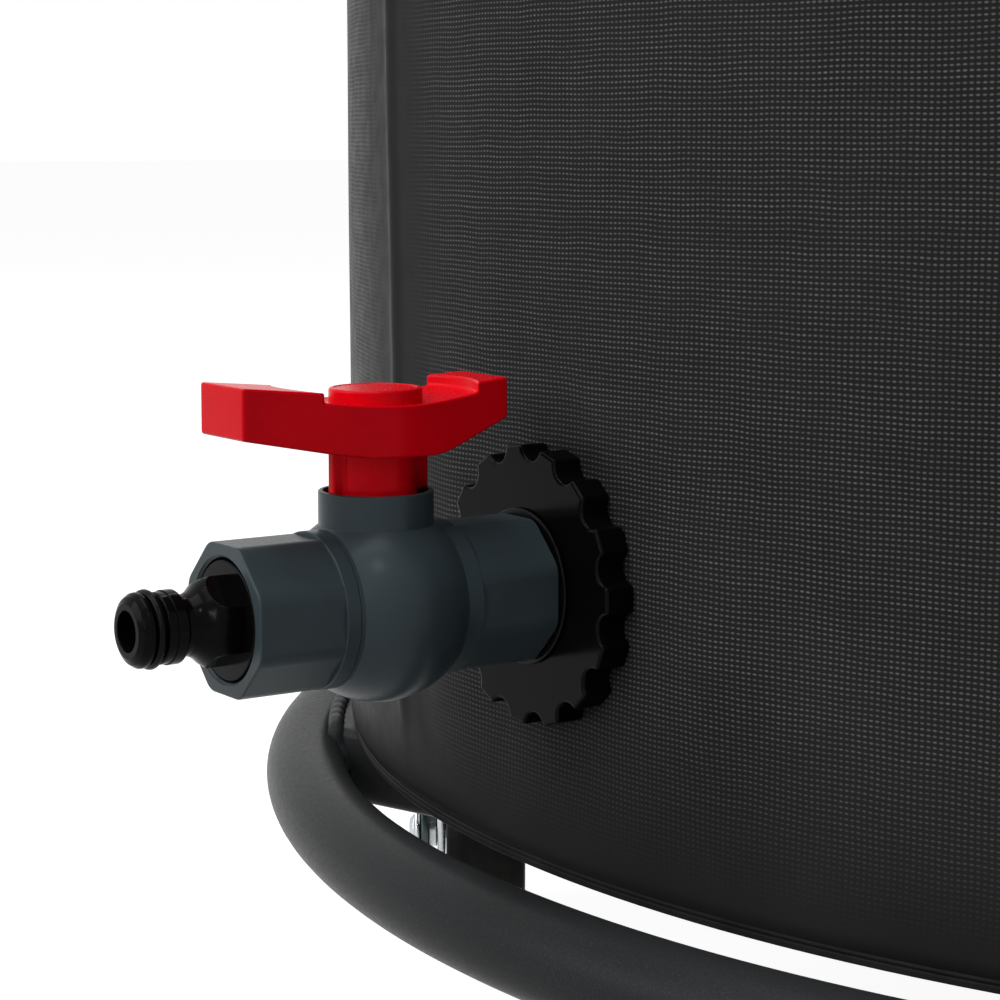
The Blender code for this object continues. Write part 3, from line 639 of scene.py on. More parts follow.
def wall_angles():
    """Angles round the wall, closer together at each rod's ridge, and next closest beside the outlet."""
    angles = []
    sector = FULL_TURN / ROD_COUNT
    fine, fine_columns = math.radians(0.32), 26
    outlet_sector = 0
    for rod in range(ROD_COUNT):
        start = FIRST_ROD_ANGLE + rod * sector - math.radians(4)
        angles += [start + fine * i for i in range(fine_columns)]
        rest = start + fine * fine_columns
        coarse = math.radians(0.6 if rod == outlet_sector else 1.7)
        count = round((start + sector - rest) / coarse)
        angles += [rest + (start + sector - rest) * i / count for i in range(count)]
    return angles + [angles[0] + FULL_TURN]


def rolled_sheet(name, angles, profile, shape, threads):
    """Lays a flat grid, then rolls it round the axis. It keeps its UV map, in metres, as it was cut.

    Shape gives how far each point moves out and up, and threads how clearly the net shows there.
    """
    columns, rows = len(angles) - 1, len(profile) - 1
    bpy.ops.object.select_all(action="DESELECT")
    bpy.ops.mesh.primitive_grid_add(x_subdivisions=columns, y_subdivisions=rows, size=1)
    sheet = bpy.context.object
    lengths = [0]
    for (r0, z0), (r1, z1) in zip(profile, profile[1:]):
        lengths.append(lengths[-1] + math.hypot(r1 - r0, z1 - z0))
    cells = [(round((v.co.x + 0.5) * columns), round((0.5 - v.co.y) * rows)) for v in sheet.data.vertices]
    cut = sheet.data.uv_layers.active
    cut.name = "cloth"
    for loop, uv in zip(sheet.data.loops, cut.data):
        column, row = cells[loop.vertex_index]
        uv.uv = (angles[column] * TANK_RADIUS, profile[0][1] - lengths[row])
    shown = sheet.data.attributes.new("threads", "FLOAT", "POINT")
    for vertex, (column, row), value in zip(sheet.data.vertices, cells, shown.data):
        angle, (radius, height) = angles[column], profile[row]
        out, up = shape(angle, radius, height)
        vertex.co = ((radius + out) * math.cos(angle), (radius + out) * math.sin(angle), height + up)
        value.value = threads(angle, radius, height)
    bpy.ops.object.mode_set(mode="EDIT")
    sheet = tidied()
    sheet.name = name
    return sheet


def make_tank():
    """The wall and floor, one sheet thick, with the holes for the outlet and the overflow."""
    def shape(angle, radius, height):
        on_wall = radius > TANK_RADIUS - MERGE
        return (wall_offset(angle, height) if on_wall else 0), 0

    def threads(angle, radius, height):
        return threads_shown(angle, height) if radius > TANK_RADIUS / 2 else 0.5

    wall = rolled_sheet("tank_fabric", wall_angles(), wall_profile(), shape, threads)
    modified(wall, "SOLIDIFY", thickness=sizes().fabric, offset=-1, use_even_offset=True)
    outlet_hole, overflow_hole = drill(13.1, -12, 12), drill(12.2, -12, 12)
    combined(placed(wall, AXIS), "DIFFERENCE", placed(outlet_hole, VALVE), placed(overflow_hole, OVERFLOW))
    finished(wall, "tank_fabric", "coated_scrim_fabric", stands_for=["tank_shell"], smooth_under=60)


def make_foot_seam():
    """The welded lip where the floor meets the wall: a thin bead over a flat band."""
    foot = TANK_RADIUS / MM - 1.6
    low = TANK_FOOT / MM
    lip = [(foot - 4, low + 0.1), (foot + 0.7, low + 0.1, 0.3), (foot + 0.8, low + 1.5, 0.4),
           (foot + 0.3, low + 1.8), (foot + 0.9, low + 2.1, 0.3), (foot + 0.9, low + 2.9, 0.4),
           (foot - 2, low + 2.9)]
    finished(placed(lathed(lip, 240, 3), AXIS), "tank_foot_seam", "welded_fabric_edge")


def make_hoop_and_rods():
    """The hoop inside the rim, and the rods that keep the wall upright."""
    hoop_height = TANK_TOP - HOOP_BELOW_RIM
    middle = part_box("tank_top_hoop")[1].x - HOOP_TUBE
    section = arc((middle, hoop_height), HOOP_TUBE, 0, FULL_TURN, 20)[:-1]
    finished(placed(turned(section, 180), AXIS), "tank_hoop", "white_acetal", stands_for=["tank_top_hoop"])
    low, high = [height / MM for height in heights("tank_rod_1")]
    radius = ROD_RADIUS / MM
    rod = lathed([(0, low), (radius, low, 0.8), (radius, high, 0.8), (0, high)], 24)
    for number in range(1, ROD_COUNT + 1):
        corner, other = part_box(f"tank_rod_{number}")
        middle = (corner + other) / 2
        piece = copied(rod, at(middle.x, middle.y, 0))
        finished(piece, f"pocket_rod_{number}", "white_acetal", stands_for=[f"tank_rod_{number}"])
    bpy.data.objects.remove(rod, do_unlink=True)


def make_rod_pockets():
    """Fabric pockets welded inside the wall, each round its rod."""
    wide, deep = 16 * MM, ROD_RADIUS + 1.2 * MM
    inside = TANK_RADIUS - sizes().fabric - 0.4 * MM
    welded = [wide / inside * share for share in (1, 0.75, 0.55)]
    side = [(inside * math.cos(a), inside * math.sin(a)) for a in welded]
    for number in range(1, ROD_COUNT + 1):
        corner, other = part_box(f"tank_rod_{number}")
        middle = (corner + other) / 2 - Vector((0, AXIS_Y, 0))
        circle, angle = middle.xy.length, math.atan2(middle.y, middle.x)
        loop = arc((circle, 0), deep, math.radians(70), math.radians(290), 14)
        path = side + loop + [(x, -y) for x, y in reversed(side)]
        low, high = corner.z + 4 * MM, other.z - 24 * MM
        draw([(x, y, low) for x, y in path])
        bpy.ops.mesh.extrude_region_move(TRANSFORM_OT_translate={"value": (0, 0, high - low)})
        pocket = modified(tidied(), "SOLIDIFY", thickness=0.5 * MM, offset=0)
        placed(pocket, AXIS @ turn(angle, "Z"))
        finished(pocket, f"rod_pocket_{number}", "welded_fabric_edge", smooth_under=60)
        around = sum((Vector(b) - Vector(a)).length for a, b in zip(path, path[1:]))


# Cover and strainer


def make_cover():
    """The fabric cover: a top that dips a little, and a gathered skirt over the rim."""
    outer = SKIRT_RADIUS - 0.3 * MM
    top = COVER_TOP - 0.2 * MM
    rounding = 3 * MM
    edge = outer - rounding
    profile = [(outer, SKIRT_FOOT + (top - rounding - SKIRT_FOOT) * i / 12) for i in range(13)]
    profile += arc((edge, top - rounding), rounding, math.radians(15), math.pi / 2, 5)
    profile += [(edge + (COVER_HOLE - edge) * i / 28, top) for i in range(1, 29)]
    columns = 288
    angles = [FULL_TURN * i / columns for i in range(columns + 1)]

    def shape(angle, radius, height):
        if radius > edge + MERGE:
            # The skirt's gathers are drawn unevenly, and stand out more towards its hem
            low = smooth_step(top - height, 6 * MM, 36 * MM)
            gather = math.sin(72 * angle + 2 * math.sin(3 * angle)) * 0.45 * MM
            return (gather + 0.5 * MM) * low, 0
        share = (radius - COVER_HOLE) / (edge - COVER_HOLE)
        dip = math.sin(math.pi * share) ** 2
        point = Vector((math.cos(angle), math.sin(angle), 0)) * radius / (60 * MM)
        folds = noise.noise(point) * 1.8 * MM + math.sin(9 * angle + 1.3) * 0.8 * MM
        return 0, -dip * (2.6 * MM - folds)

    def threads(angle, radius, height):
        seam = smooth_step(abs(radius - COVER_HOLE), 9 * MM, 12 * MM)
        hem = smooth_step(height, SKIRT_FOOT + 9 * MM, SKIRT_FOOT + 12 * MM)
        return seam * hem

    piece = rolled_sheet("cover_fabric", angles, profile, shape, threads)
    modified(piece, "SOLIDIFY", thickness=sizes().fabric, offset=-1)
    finished(placed(piece, AXIS), "cover_fabric", "coated_scrim_fabric", "cover", ["cover"], 60)


def make_cover_bindings():
    """A bound hem round the skirt's edge and one round the hole, each a folded strip."""
    outer, foot = SKIRT_RADIUS / MM, SKIRT_FOOT / MM + 0.1
    strip = [(outer - 0.9, foot, 0.3), (outer + 1.3, foot, 0.5), (outer + 1.5, foot + 8, 0.5),
             (outer + 0.5, foot + 8.4, 0.2), (outer - 0.9, foot + 7)]
    finished(placed(lathed(strip, 240, 3), AXIS), "cover_hem", "welded_fabric_edge", "cover")
    hole, top = COVER_HOLE / MM, COVER_TOP / MM - 0.1
    ring = [(hole - 0.4, top - 1.2, 0.2), (hole - 0.4, top, 0.2), (hole + 8, top, 0.2),
            (hole + 8.5, top - 0.6, 0.2), (hole + 8, top - 1.2)]
    finished(placed(lathed(ring, 128, 2), AXIS), "cover_hole_binding", "welded_fabric_edge", "cover")


def make_strainer():
    """The lift-out bowl: a flanged cup with rows of slots in its floor and side."""
    cup = [(0, -40), (66, -40, 3), (74, -2, 1), (84, -2, 0.6), (84, 0, 0.8), (71.5, 0, 1.4), (64.2, -38, 2),
           (0, -38)]
    bowl = lathed(cup, 128)
    slots = []
    half_width = 1.5 * MM
    for count, start, end in ((24, 34, 58), (12, 12, 28)):
        outline = arc((end * MM, 0), half_width, -math.pi / 2, math.pi / 2, 6)
        outline += arc((start * MM, 0), half_width, math.pi / 2, 3 * math.pi / 2, 6)
        slots.append(repeated(extruded(outline, -44 * MM, -34 * MM), count))
    window = softened(in_mm([(-1.5, -32, 1.4), (1.5, -32, 1.4), (1.5, -12, 1.4), (-1.5, -12, 1.4)]))
    slots.append(repeated(placed(extruded(window, 60 * MM, 80 * MM), SIDEWAYS), 48))
    combined(bowl, "DIFFERENCE", joined(slots))
    placed(bowl, AXIS @ at(0, 0, STRAINER_TOP))
    finished(bowl, "strainer_bowl", "black_polypropylene", "strainer", ["strainer"])


# Frame


def make_frame_ring():
    """The bent tube: a circle spun round the axis."""
    bpy.ops.object.select_all(action="DESELECT")
    bpy.ops.mesh.primitive_circle_add(vertices=40, radius=RING_TUBE, location=(RING_RADIUS, 0, RING_HEIGHT),
                                      rotation=(math.pi / 2, 0, 0))
    bpy.ops.object.transform_apply(location=True, rotation=True, scale=True)
    bpy.ops.object.mode_set(mode="EDIT")
    bpy.ops.mesh.select_all(action="SELECT")
    bpy.ops.mesh.spin(steps=300, angle=FULL_TURN, center=(0, 0, 0), axis=(0, 0, 1))
    finished(placed(tidied(), AXIS), "ring_tube", "powder_coated_tube", stands_for=["frame_ring"])


def bar_section():
    """A rectangular tube's outline, finely divided so that its end can follow the ring."""
    corner = 2.5 * MM
    half = BAR_WIDTH / 2
    corners = softened([(-half, 0, corner), (half, 0, corner), (half, BAR_DEPTH, corner),
                        (-half, BAR_DEPTH, corner)])
    spacing = 2.5 * MM
    points = []
    for here, there in zip(corners, corners[1:] + corners[:1]):
        count = max(1, round(math.dist(here, there) / spacing))
        points += [(here[0] + (there[0] - here[0]) * i / count, here[1] + (there[1] - here[1]) * i / count)
                   for i in range(count)]
    return points


def ring_meets(offset, height, clearance=0.0):
    """How far along a bar the ring's tube is met, at an offset across the frame and a height."""
    tube = RING_TUBE + clearance
    inward = RING_RADIUS - math.sqrt(max(tube**2 - (height - RING_HEIGHT) ** 2, 0))
    # At the tube's crown the cope would run out to the tube's middle, so it is stopped short of that
    short = 8.5 * MM
    return math.sqrt(min(inward, RING_RADIUS - short) ** 2 - offset**2)


def make_long_bar(number, side):
    """A rectangular tube coped to the ring and welded to it at both ends."""
    section = bar_section()
    middle = side * LONG_BAR_OFFSET
    low = FRAME_TOP - BAR_DEPTH
    # Drawn out past the ring on both sides, then each end point is brought in to meet it
    bar = extruded(section, -1, 1)
    for vertex in bar.data.vertices:
        across, up, end = vertex.co
        offset, height = middle + across, low + up
        vertex.co = (math.copysign(ring_meets(offset, height, 0.15 * MM), end), offset, height)
    placed(bar, AXIS @ turn(BAR_ANGLE, "Z"))
    bpy.ops.object.mode_set(mode="EDIT")
    finished(tidied(), f"long_bar_{number}", "powder_coated_tube", stands_for=[f"frame_bar_{number}"])
    path = [(middle + x, low + y) for x, y in section]
    for end, letter in ((-1, "a"), (1, "b")):
        joint = [(end * (ring_meets(offset, height) + 0.4 * MM), offset, height) for offset, height in path]
        make_weld_bead(f"long_bar_{number}_weld_{letter}", joint)


def make_weld_bead(name, path):
    """A MIG weld's bead round a joint, with the ripples that the weaving torch leaves."""
    spacing, least, swell = 0.8 * MM, 0.88, 0.14
    points, walked = [], 0
    for here, there in zip(path, path[1:] + path[:1]):
        start, step = Vector(here), Vector(there) - Vector(here)
        count = max(1, round(step.length / spacing))
        points += [(start + step * i / count, walked + step.length * i / count) for i in range(count)]
        walked += step.length
    ripples = round(walked / sizes().weld_ripple)
    count, sides = len(points), 12
    bpy.ops.object.select_all(action="DESELECT")
    bpy.ops.mesh.primitive_grid_add(x_subdivisions=count, y_subdivisions=sides, size=1)
    bead = bpy.context.object
    for vertex in bead.data.vertices:
        i = round((vertex.co.x + 0.5) * count) % count
        around = (vertex.co.y + 0.5) * FULL_TURN
        centre, along = points[i]
        ahead = points[(i + 2) % count][0] - points[i - 2][0]
        facing = ahead.to_track_quat("Z", "Y").to_matrix()
        wave = abs(math.sin(math.pi * ripples * along / walked))
        radius = sizes().weld * (least + swell * wave)
        vertex.co = centre + facing @ Vector((math.cos(around), math.sin(around), 0)) * radius
    bpy.ops.object.mode_set(mode="EDIT")
    bead = placed(tidied(), AXIS @ turn(BAR_ANGLE, "Z"))
    finished(bead, name, "powder_coated_weld", smooth_under=60)


def make_cross_bar(number, side):
    """A shorter tube between the long bars, cut square."""
    reach = LONG_BAR_OFFSET - BAR_WIDTH / 2 - GAP
    bar = extruded(bar_section(), -reach, reach)
    upright = Matrix(((1, 0, 0, side * CROSS_BAR_OFFSET), (0, 0, 1, 0), (0, 1, 0, FRAME_TOP - BAR_DEPTH),
                      (0, 0, 0, 1)))
    placed(bar, AXIS @ turn(BAR_ANGLE, "Z") @ upright)
    bpy.ops.object.mode_set(mode="EDIT")
    finished(tidied(), f"cross_bar_{number}", "powder_coated_tube", stands_for=[f"frame_bar_{number}"])


# Castors. Each piece is modelled at the origin, trailing along +X, and copied to its castor

# Radii of the holes for the stem and the axle, in millimetres
STEM_HOLE = 5.3
AXLE_HOLE = 3.4


def along_axle(piece):
    """Turns a piece that was spun about Z so that it lies along the axle."""
    return placed(piece, at(TRAIL, 0, WHEEL_RADIUS) @ turn(math.radians(-90), "X"))


def mirrored(half):
    """A profile across the wheel, from its half on the +Y side."""
    return half + [(radius, -width, *rounding) for radius, width, *rounding in reversed(half)]


def plate(outline, start, thickness, edge):
    """A pressed plate upright in the wheel's plane, from its (x, z) outline. The place is in millimetres."""
    made = bevelled(extruded(outline, -(start + thickness) * MM, -start * MM), edge * MM, 2)
    return placed(made, turn(math.radians(90), "X"))


def tab_piece():
    """The powder coated plate under the ring, with the stem's hole."""
    low, high = heights("castor_1_tab")
    outline = arc((0, 0), 22 * MM, math.pi / 2, 3 * math.pi / 2, 24) + in_mm([(36, -22), (36, 22)])
    tab = combined(extruded(outline, low, high), "DIFFERENCE", drill(STEM_HOLE, 60, 90))
    return bevelled(tab, 0.7 * MM)


def stem_piece():
    """The rivet head under the crown, the swivel race and the threaded stem."""
    body = [(0, 58.7), (7.5, 58.7, 1.2), (7.5, 62.2, 0.4), (5, 62.2), (5, 66), (17, 66, 1.2), (17, 70.4, 2.2),
            (14.6, 73.5, 0.8), (5, 73.5)]
    thread = [(5 - 0.35 * (i % 2), 74 + 0.62 * i) for i in range(25)]
    return lathed(body + thread + [(4.2, 90), (0, 90)], 48)


def nut_piece():
    """A hexagon nut whose corners are turned down by its chamfer."""
    low, high = heights("castor_1_stem_nut")
    nut = extruded(polygon(6, 17, 0.5, 2), low, high)
    face, full, chamfer = 8.7 * MM, 10.4 * MM, 1.3 * MM
    cone = turned([(0, low), (face, low), (full, low + chamfer), (full, high - chamfer), (face, high),
                   (0, high)], 48)
    combined(nut, "INTERSECT", cone)
    return bevelled(combined(nut, "DIFFERENCE", drill(STEM_HOLE, 60, 99, 40)), 0.2 * MM, 2)


def crown_piece():
    """The fork's flat crown, round in front."""
    outline = arc((0, 0), 15.05 * MM, math.pi / 2, 3 * math.pi / 2, 20) + in_mm([(36, -15.05), (36, 15.05)])
    return bevelled(extruded(outline, 63 * MM, 65.5 * MM), 0.8 * MM)


def fork_piece():
    """The pressed fork: a crown with folded shoulders and two tapering legs."""
    boss = arc((22 * MM, 30 * MM), 9 * MM, math.radians(205), math.radians(345), 14)
    shoulders = in_mm([(39, 47, 8), (43, 55, 4), (43, 60, 3), (38, 65.3, 2), (-13, 65.3, 3), (-10, 56, 6)])
    leg = softened(boss + shoulders)
    fork = combined(plate(leg, 13.8, 2.5, 0.6), "UNION", plate(leg, -16.3, 2.5, 0.6), crown_piece())
    stem_hole, axle_hole = drill(STEM_HOLE, 50, 70, 40), along_axle(drill(AXLE_HOLE, -20, 20, 32))
    return combined(fork, "DIFFERENCE", stem_hole, axle_hole)


def axle_piece(braked):
    """The axle bolt with its collars, and on a braked castor the domed heads that hold the lever."""
    half = [(0, 21.1), (3.1, 21.1, 0.4), (3.1, 20.1), (5.8, 20.1, 0.4), (5.8, 16.6, 0.4), (3.1, 16.6)]
    if braked:
        half[:2] = [(0, 26), (3.4, 25.9, 0.8), (5, 24.6, 0.5), (5, 23.9, 0.2), (3.1, 23.9)]
    return along_axle(lathed(mirrored(half), 40))


def wheel_core_piece():
    """The nylon core: a hub and a rim joined by a thin web with ribs."""
    half = [(22, 11, 0.5), (18.6, 11, 0.6), (18.2, 3.2, 1.2), (8.6, 3.2, 1.2), (8, 13.3, 0.5),
            (3.4, 13.3, 0.3)]
    core = lathed(mirrored(half), 64)
    combined(core, "UNION", repeated(slab((7.5, -0.9, -9.5), (18.9, 0.9, 9.5)), 8))
    return along_axle(bevelled(core, 0.25 * MM, 2, 50))


def tyre_piece():
    """The tyre: a flat tread between round shoulders."""
    half = [(30, 0.5), (30, 8.6, 7), (28.4, 12.7, 1.8), (25.8, 13, 0.8), (22.4, 11.6, 0.3)]
    return along_axle(lathed(mirrored(half), 96, 6))


def lever_outline(boss):
    """The side of a brake lever: a boss round the axle and an arm that reaches back over the tyre."""
    arm = [(59, 35, 6), (75, 42, 1.5), (75, 46.5, 1.5), (59, 50, 6)]
    round_axle = arc((TRAIL, WHEEL_RADIUS), boss * MM, math.radians(60), math.radians(300), 24)
    return softened(round_axle + in_mm(arm))


def lever_piece():
    """The brake lever: two cheeks on the axle's ends, joined behind the wheel by a ribbed pedal."""
    lever = plate(lever_outline(14), 22, 1.8, 0.7)
    pedal = bevelled(slab((58, -21.9, 43.5), (74, 22.4, 46.5)), 0.8 * MM, 2)
    combined(lever, "UNION", plate(lever_outline(8), -23.4, 3, 0.8), pedal)
    for i in range(3):
        start = 61.5 + 3.6 * i
        combined(lever, "UNION", bevelled(slab((start, -17, 46.2), (start + 1.5, 17, 46.9)), 0.3 * MM, 2))
    return combined(lever, "DIFFERENCE", along_axle(drill(AXLE_HOLE, -30, 30, 32)))


def brake_pad_and_shade_piece():
    """A dark pad inside the lever's outer cheek, which clears the axle's collar. It is partly painted shade:
    a dark sheet that stands for the shade inside the cheek.
    """
    outline = softened(arc((TRAIL, WHEEL_RADIUS), 13.6 * MM, math.radians(50), math.radians(310), 24)
                       + in_mm([(44, 32, 5), (56, 38, 3), (56, 43.2, 2), (44, 45, 5)]))
    shoe = plate(outline, 18.9, 2.8, 0.6)
    return combined(shoe, "DIFFERENCE", along_axle(drill(6.3, -30, 30, 40)))


def make_castors():
    """Makes each kind of piece once, and copies it to every castor that has it."""
    zinc = "bright_zinc_plate"
    plain = {
        "tab": (tab_piece(), "powder_coated_tube", "root"),
        "stem": (stem_piece(), zinc, "root"),
        "stem_nut": (nut_piece(), zinc, "root"),
        "fork": (fork_piece(), zinc, "swivel"),
        "axle": (axle_piece(False), zinc, "swivel"),
        "wheel_core": (wheel_core_piece(), "moulded_nylon", "wheel"),
        "tyre": (tyre_piece(), "natural_tyre_rubber", "wheel"),
    }
    braked = {
        **plain,
        "axle": (axle_piece(True), zinc, "swivel"),
        "brake_lever": (lever_piece(), zinc, "brake"),
        # A dark pad whose colour is partly painted shade, for the shade inside the lever's cheek
        "brake_pad_and_shade": (brake_pad_and_shade_piece(), "black_zinc_and_painted_shade", "brake"),
    }
    for number in range(1, CASTOR_COUNT + 1):
        angle = FIRST_CASTOR_ANGLE + (number - 1) * FULL_TURN / CASTOR_COUNT
        spot = AXIS @ at(CASTOR_CIRCLE * math.cos(angle), CASTOR_CIRCLE * math.sin(angle), 0)
        pieces = braked if number in BRAKED_CASTORS else plain
        for name, (made, finish, moves_with) in pieces.items():
            fixed = moves_with == "root"
            piece = copied(made, spot @ turn(angle if fixed else TRAIL_ANGLE, "Z"))
            body = moves_with if fixed else f"castor_{number}_{moves_with}"
            stands_for = [] if name == "brake_pad_and_shade" else [f"castor_{number}_{name}"]
            finished(piece, f"castor_{name}_{number}", finish, body, stands_for)
    for made, _, _ in [plain["axle"], *braked.values()]:
        bpy.data.objects.remove(made, do_unlink=True)


# Tank outlet and valve, in the valve's own frame

# Radii that several of its pieces share, and the width across an octagon's flats, in millimetres
WATERWAY = 9
BUSH_THREAD = 12.9
THREAD_HOLE = 13.2
INNER_FLANGE = 26
COLLAR = 16.5
OCTAGON_FLATS = 31


def make_flange_nut():
    """The lobed nut that clamps the wall: short flats with round scoops between them."""
    first_lobe = math.radians(1.5)
    half = 2.95 * MM / NUT_RADIUS
    scoop_circle, scoop_radius = 31.4 * MM, 3.6 * MM
    outline = []
    for i in range(NUT_LOBES):
        middle = first_lobe + i * FULL_TURN / NUT_LOBES
        outline += [(NUT_RADIUS * math.cos(a), NUT_RADIUS * math.sin(a), 1.0 * MM)
                    for a in (middle - half, middle + half)]
        scoop = middle + math.pi / NUT_LOBES
        centre = (scoop_circle * math.cos(scoop), scoop_circle * math.sin(scoop))
        outline += arc(centre, scoop_radius, scoop + math.radians(240), scoop + math.radians(120), 8)
    nut = extruded(softened(outline), NUT_SEAT + 0.1 * MM, 6 * MM)
    combined(nut, "DIFFERENCE", drill(THREAD_HOLE, -4, 12, 64))
    bevelled(nut, 0.8 * MM, 3, 50)
    finished(placed(nut, VALVE), "flange_nut", "black_polypropylene", stands_for=["outlet_flange_nut"])


def make_outlet_bush():
    """The threaded bush through the wall, flanged inside the tank."""
    flange = [(WATERWAY, -9.4, 0.5), (INNER_FLANGE, -9.4, 0.8), (INNER_FLANGE, -5.6, 0.4),
              (BUSH_THREAD, -5.6)]
    thread = [(BUSH_THREAD - 0.7 * (i % 2), -4 + 0.75 * i) for i in range(37)]
    bush = lathed(flange + thread + [(12.3, 24), (WATERWAY, 24)])
    finished(placed(bush, VALVE), "wall_bush", "black_polypropylene", stands_for=["outlet_bush"])


def make_outlet_seals():
    """The flat ring inside the wall, and the small one between the nut and the valve."""
    hole = THREAD_HOLE
    for name, rim, low, high in (("inner_seal", INNER_FLANGE, -5.3, -2.5), ("outer_seal", 17.1, 6.1, 7.05)):
        seal = lathed([(hole, low, 0.3), (rim, low, 0.4), (rim, high, 0.4), (hole, high, 0.3)])
        finished(placed(seal, VALVE), name, "nitrile_rubber", stands_for=[f"outlet_{name}"])


def make_valve_body():
    """The PVC ball housing: octagon, collar, ball, front collar and the neck for the lever."""
    centre, ball, front, steps = STEM_AT / MM, 20.7, 56.7, 32
    meets = math.asin(COLLAR / ball)
    housing = [(0, 27), (COLLAR, 27), (COLLAR, 30.3)]
    for i in range(steps + 1):
        angle = meets + (math.pi - 2 * meets) * i / steps
        housing.append((ball * math.sin(angle), centre - ball * math.cos(angle)))
    housing += [(COLLAR, 60), (0, 60)]
    octagon = extruded(polygon(8, OCTAGON_FLATS, 5.2, 6), 7.2 * MM, 28 * MM)
    bevelled(octagon, 0.5 * MM, 3, 50)
    neck = lathed([(0, 4), (12.1, 4), (12.1, 24, 0.35), (10.9, 24, 0.3), (10.9, 19, 0.4), (0, 19)])
    placed(neck, at(0, 0, STEM_AT) @ turn(math.radians(-90), "X"))
    body = combined(lathed(housing), "UNION", octagon, neck)
    bevelled(body, 0.8 * MM, 3, 28)
    bore = lathed([(0, 6), (THREAD_HOLE, 6), (THREAD_HOLE, 25), (WATERWAY, 25), (WATERWAY, 30.8),
                   (15.1, 30.8), (15.1, front), (30, front), (30, 70), (0, 70)], 64)
    combined(body, "DIFFERENCE", bore)
    finished(placed(body, VALVE), "ball_housing", "slate_pvc", stands_for=["valve_body"], smooth_under=32)


def make_end_socket():
    """The front socket: a round shoulder and an octagon with softened arrises."""
    shoulder = lathed([(0, 56.8), (COLLAR, 56.8, 0.1), (COLLAR, 60, 0.3), (0, 60)])
    octagon = extruded(polygon(8, OCTAGON_FLATS, 4.4, 6), 59.5 * MM, 79.5 * MM)
    socket = combined(bevelled(octagon, 0.45 * MM, 3, 50), "UNION", shoulder)
    bore = lathed([(0, 50), (WATERWAY, 50), (WATERWAY, 62), (12.8, 62), (12.8, 78.9), (13.3, 79.4),
                   (13.3, 90), (0, 90)])
    combined(socket, "DIFFERENCE", bore)
    finished(placed(socket, VALVE), "end_socket", "slate_pvc", stands_for=["valve_end_socket"],
             smooth_under=32)


def make_nose():
    """The hose nose: a ringed tip, a waist, a flare cut by six flats, and a flanged thread."""
    profile = [(0, 64), (12.4, 64), (12.4, 77.5), (12.35, 79.2, 0.4), (6.2, 79.3), (6.2, 90.3, 0.5),
               (7.55, 90.8, 0.5), (7.55, 93.2, 0.15), (7.3, 93.3), (7.3, 95.1, 0.6), (6.1, 95.6, 0.3),
               (6.1, 98, 0.3), (7.65, 98.2, 0.4), (7.6, 99.3, 1), (6.8, 100.5, 0.8), (5.5, 101.2, 0.5),
               (4.1, 101.2), (0, 101.2)]
    flare = [(0, 78.6), (9.9, 78.6), (9.8, 81.8), (9.45, 83.2), (9.1, 84), (8.6, 84.8), (8, 85.5),
             (7.35, 86.2), (6.8, 87), (6.45, 87.8), (6.25, 88.6), (5.9, 89.4), (0, 89.4)]
    hexagon = placed(extruded(polygon(6, 16.6, 0.3, 2), 78 * MM, 90 * MM), turn(math.radians(26), "Z"))
    base = combined(lathed(flare), "INTERSECT", hexagon)
    nose = combined(lathed(profile, roundness=5), "UNION", base)
    bore = lathed([(0, 60), (4.05, 60), (4.05, 100.9), (4.4, 101.4), (0, 101.4)], 64)
    combined(nose, "DIFFERENCE", bore)
    finished(placed(nose, VALVE), "hose_nose", "black_polypropylene", stands_for=["hose_nipple"],
             smooth_under=40)
    section = arc((7.1 * MM, 96.8 * MM), 0.95 * MM, 0, FULL_TURN, 20)[:-1]
    seal = placed(turned(section, 96), VALVE)
    finished(seal, "hose_nose_seal", "nitrile_rubber", stands_for=["hose_nipple_seal"])


def make_lever():
    """The ABS lever, in its own frame: +Z up from the ball's centre, its long wing along -Y."""
    plan = [(9, -36.2), (12.6, 0, 38), (9, 27.3), (-9, 27.3), (-12.6, 0, 38), (-9, -36.2)]
    lever = extruded(softened(in_mm(plan), 8), 28 * MM, 50 * MM)
    side = [(27.3, 38.3), (27.3, 46.9), (12, 45.8), (-18, 46), (-36.2, 47.8), (-36.2, 37.2), (-17, 33.5, 30),
            (-7, 32, 12), (8, 31.7, 12), (12, 32.5, 12)]
    combined(lever, "INTERSECT", placed(extruded(softened(in_mm(side), 6), -20 * MM, 20 * MM), SIDEWAYS))
    column = lathed([(0, 20), (8.7, 20), (8.7, 35), (0, 35)])
    fins = slab((-1.3, -10.9, 23.3), (1.3, 12.3, 35))
    combined(lever, "UNION", combined(column, "UNION", fins))
    dish = lathed([(0, 42.2), (10.5, 42.4), (21.4, 44.1), (21.4, 60), (0, 60)])
    combined(lever, "DIFFERENCE", dish)
    bevelled(lever, sizes().edge, 3, 40, clamped=False)
    button = lathed([(0, 40), (9.8, 40), (9.8, 45.5, 0.6), (8.7, 45.5), (8.55, 45.38), (0, 45.35)])
    combined(lever, "UNION", button)
    finished(placed(lever, LEVER), "lever", "red_abs", "valve_lever", ["valve_handle"], 32)


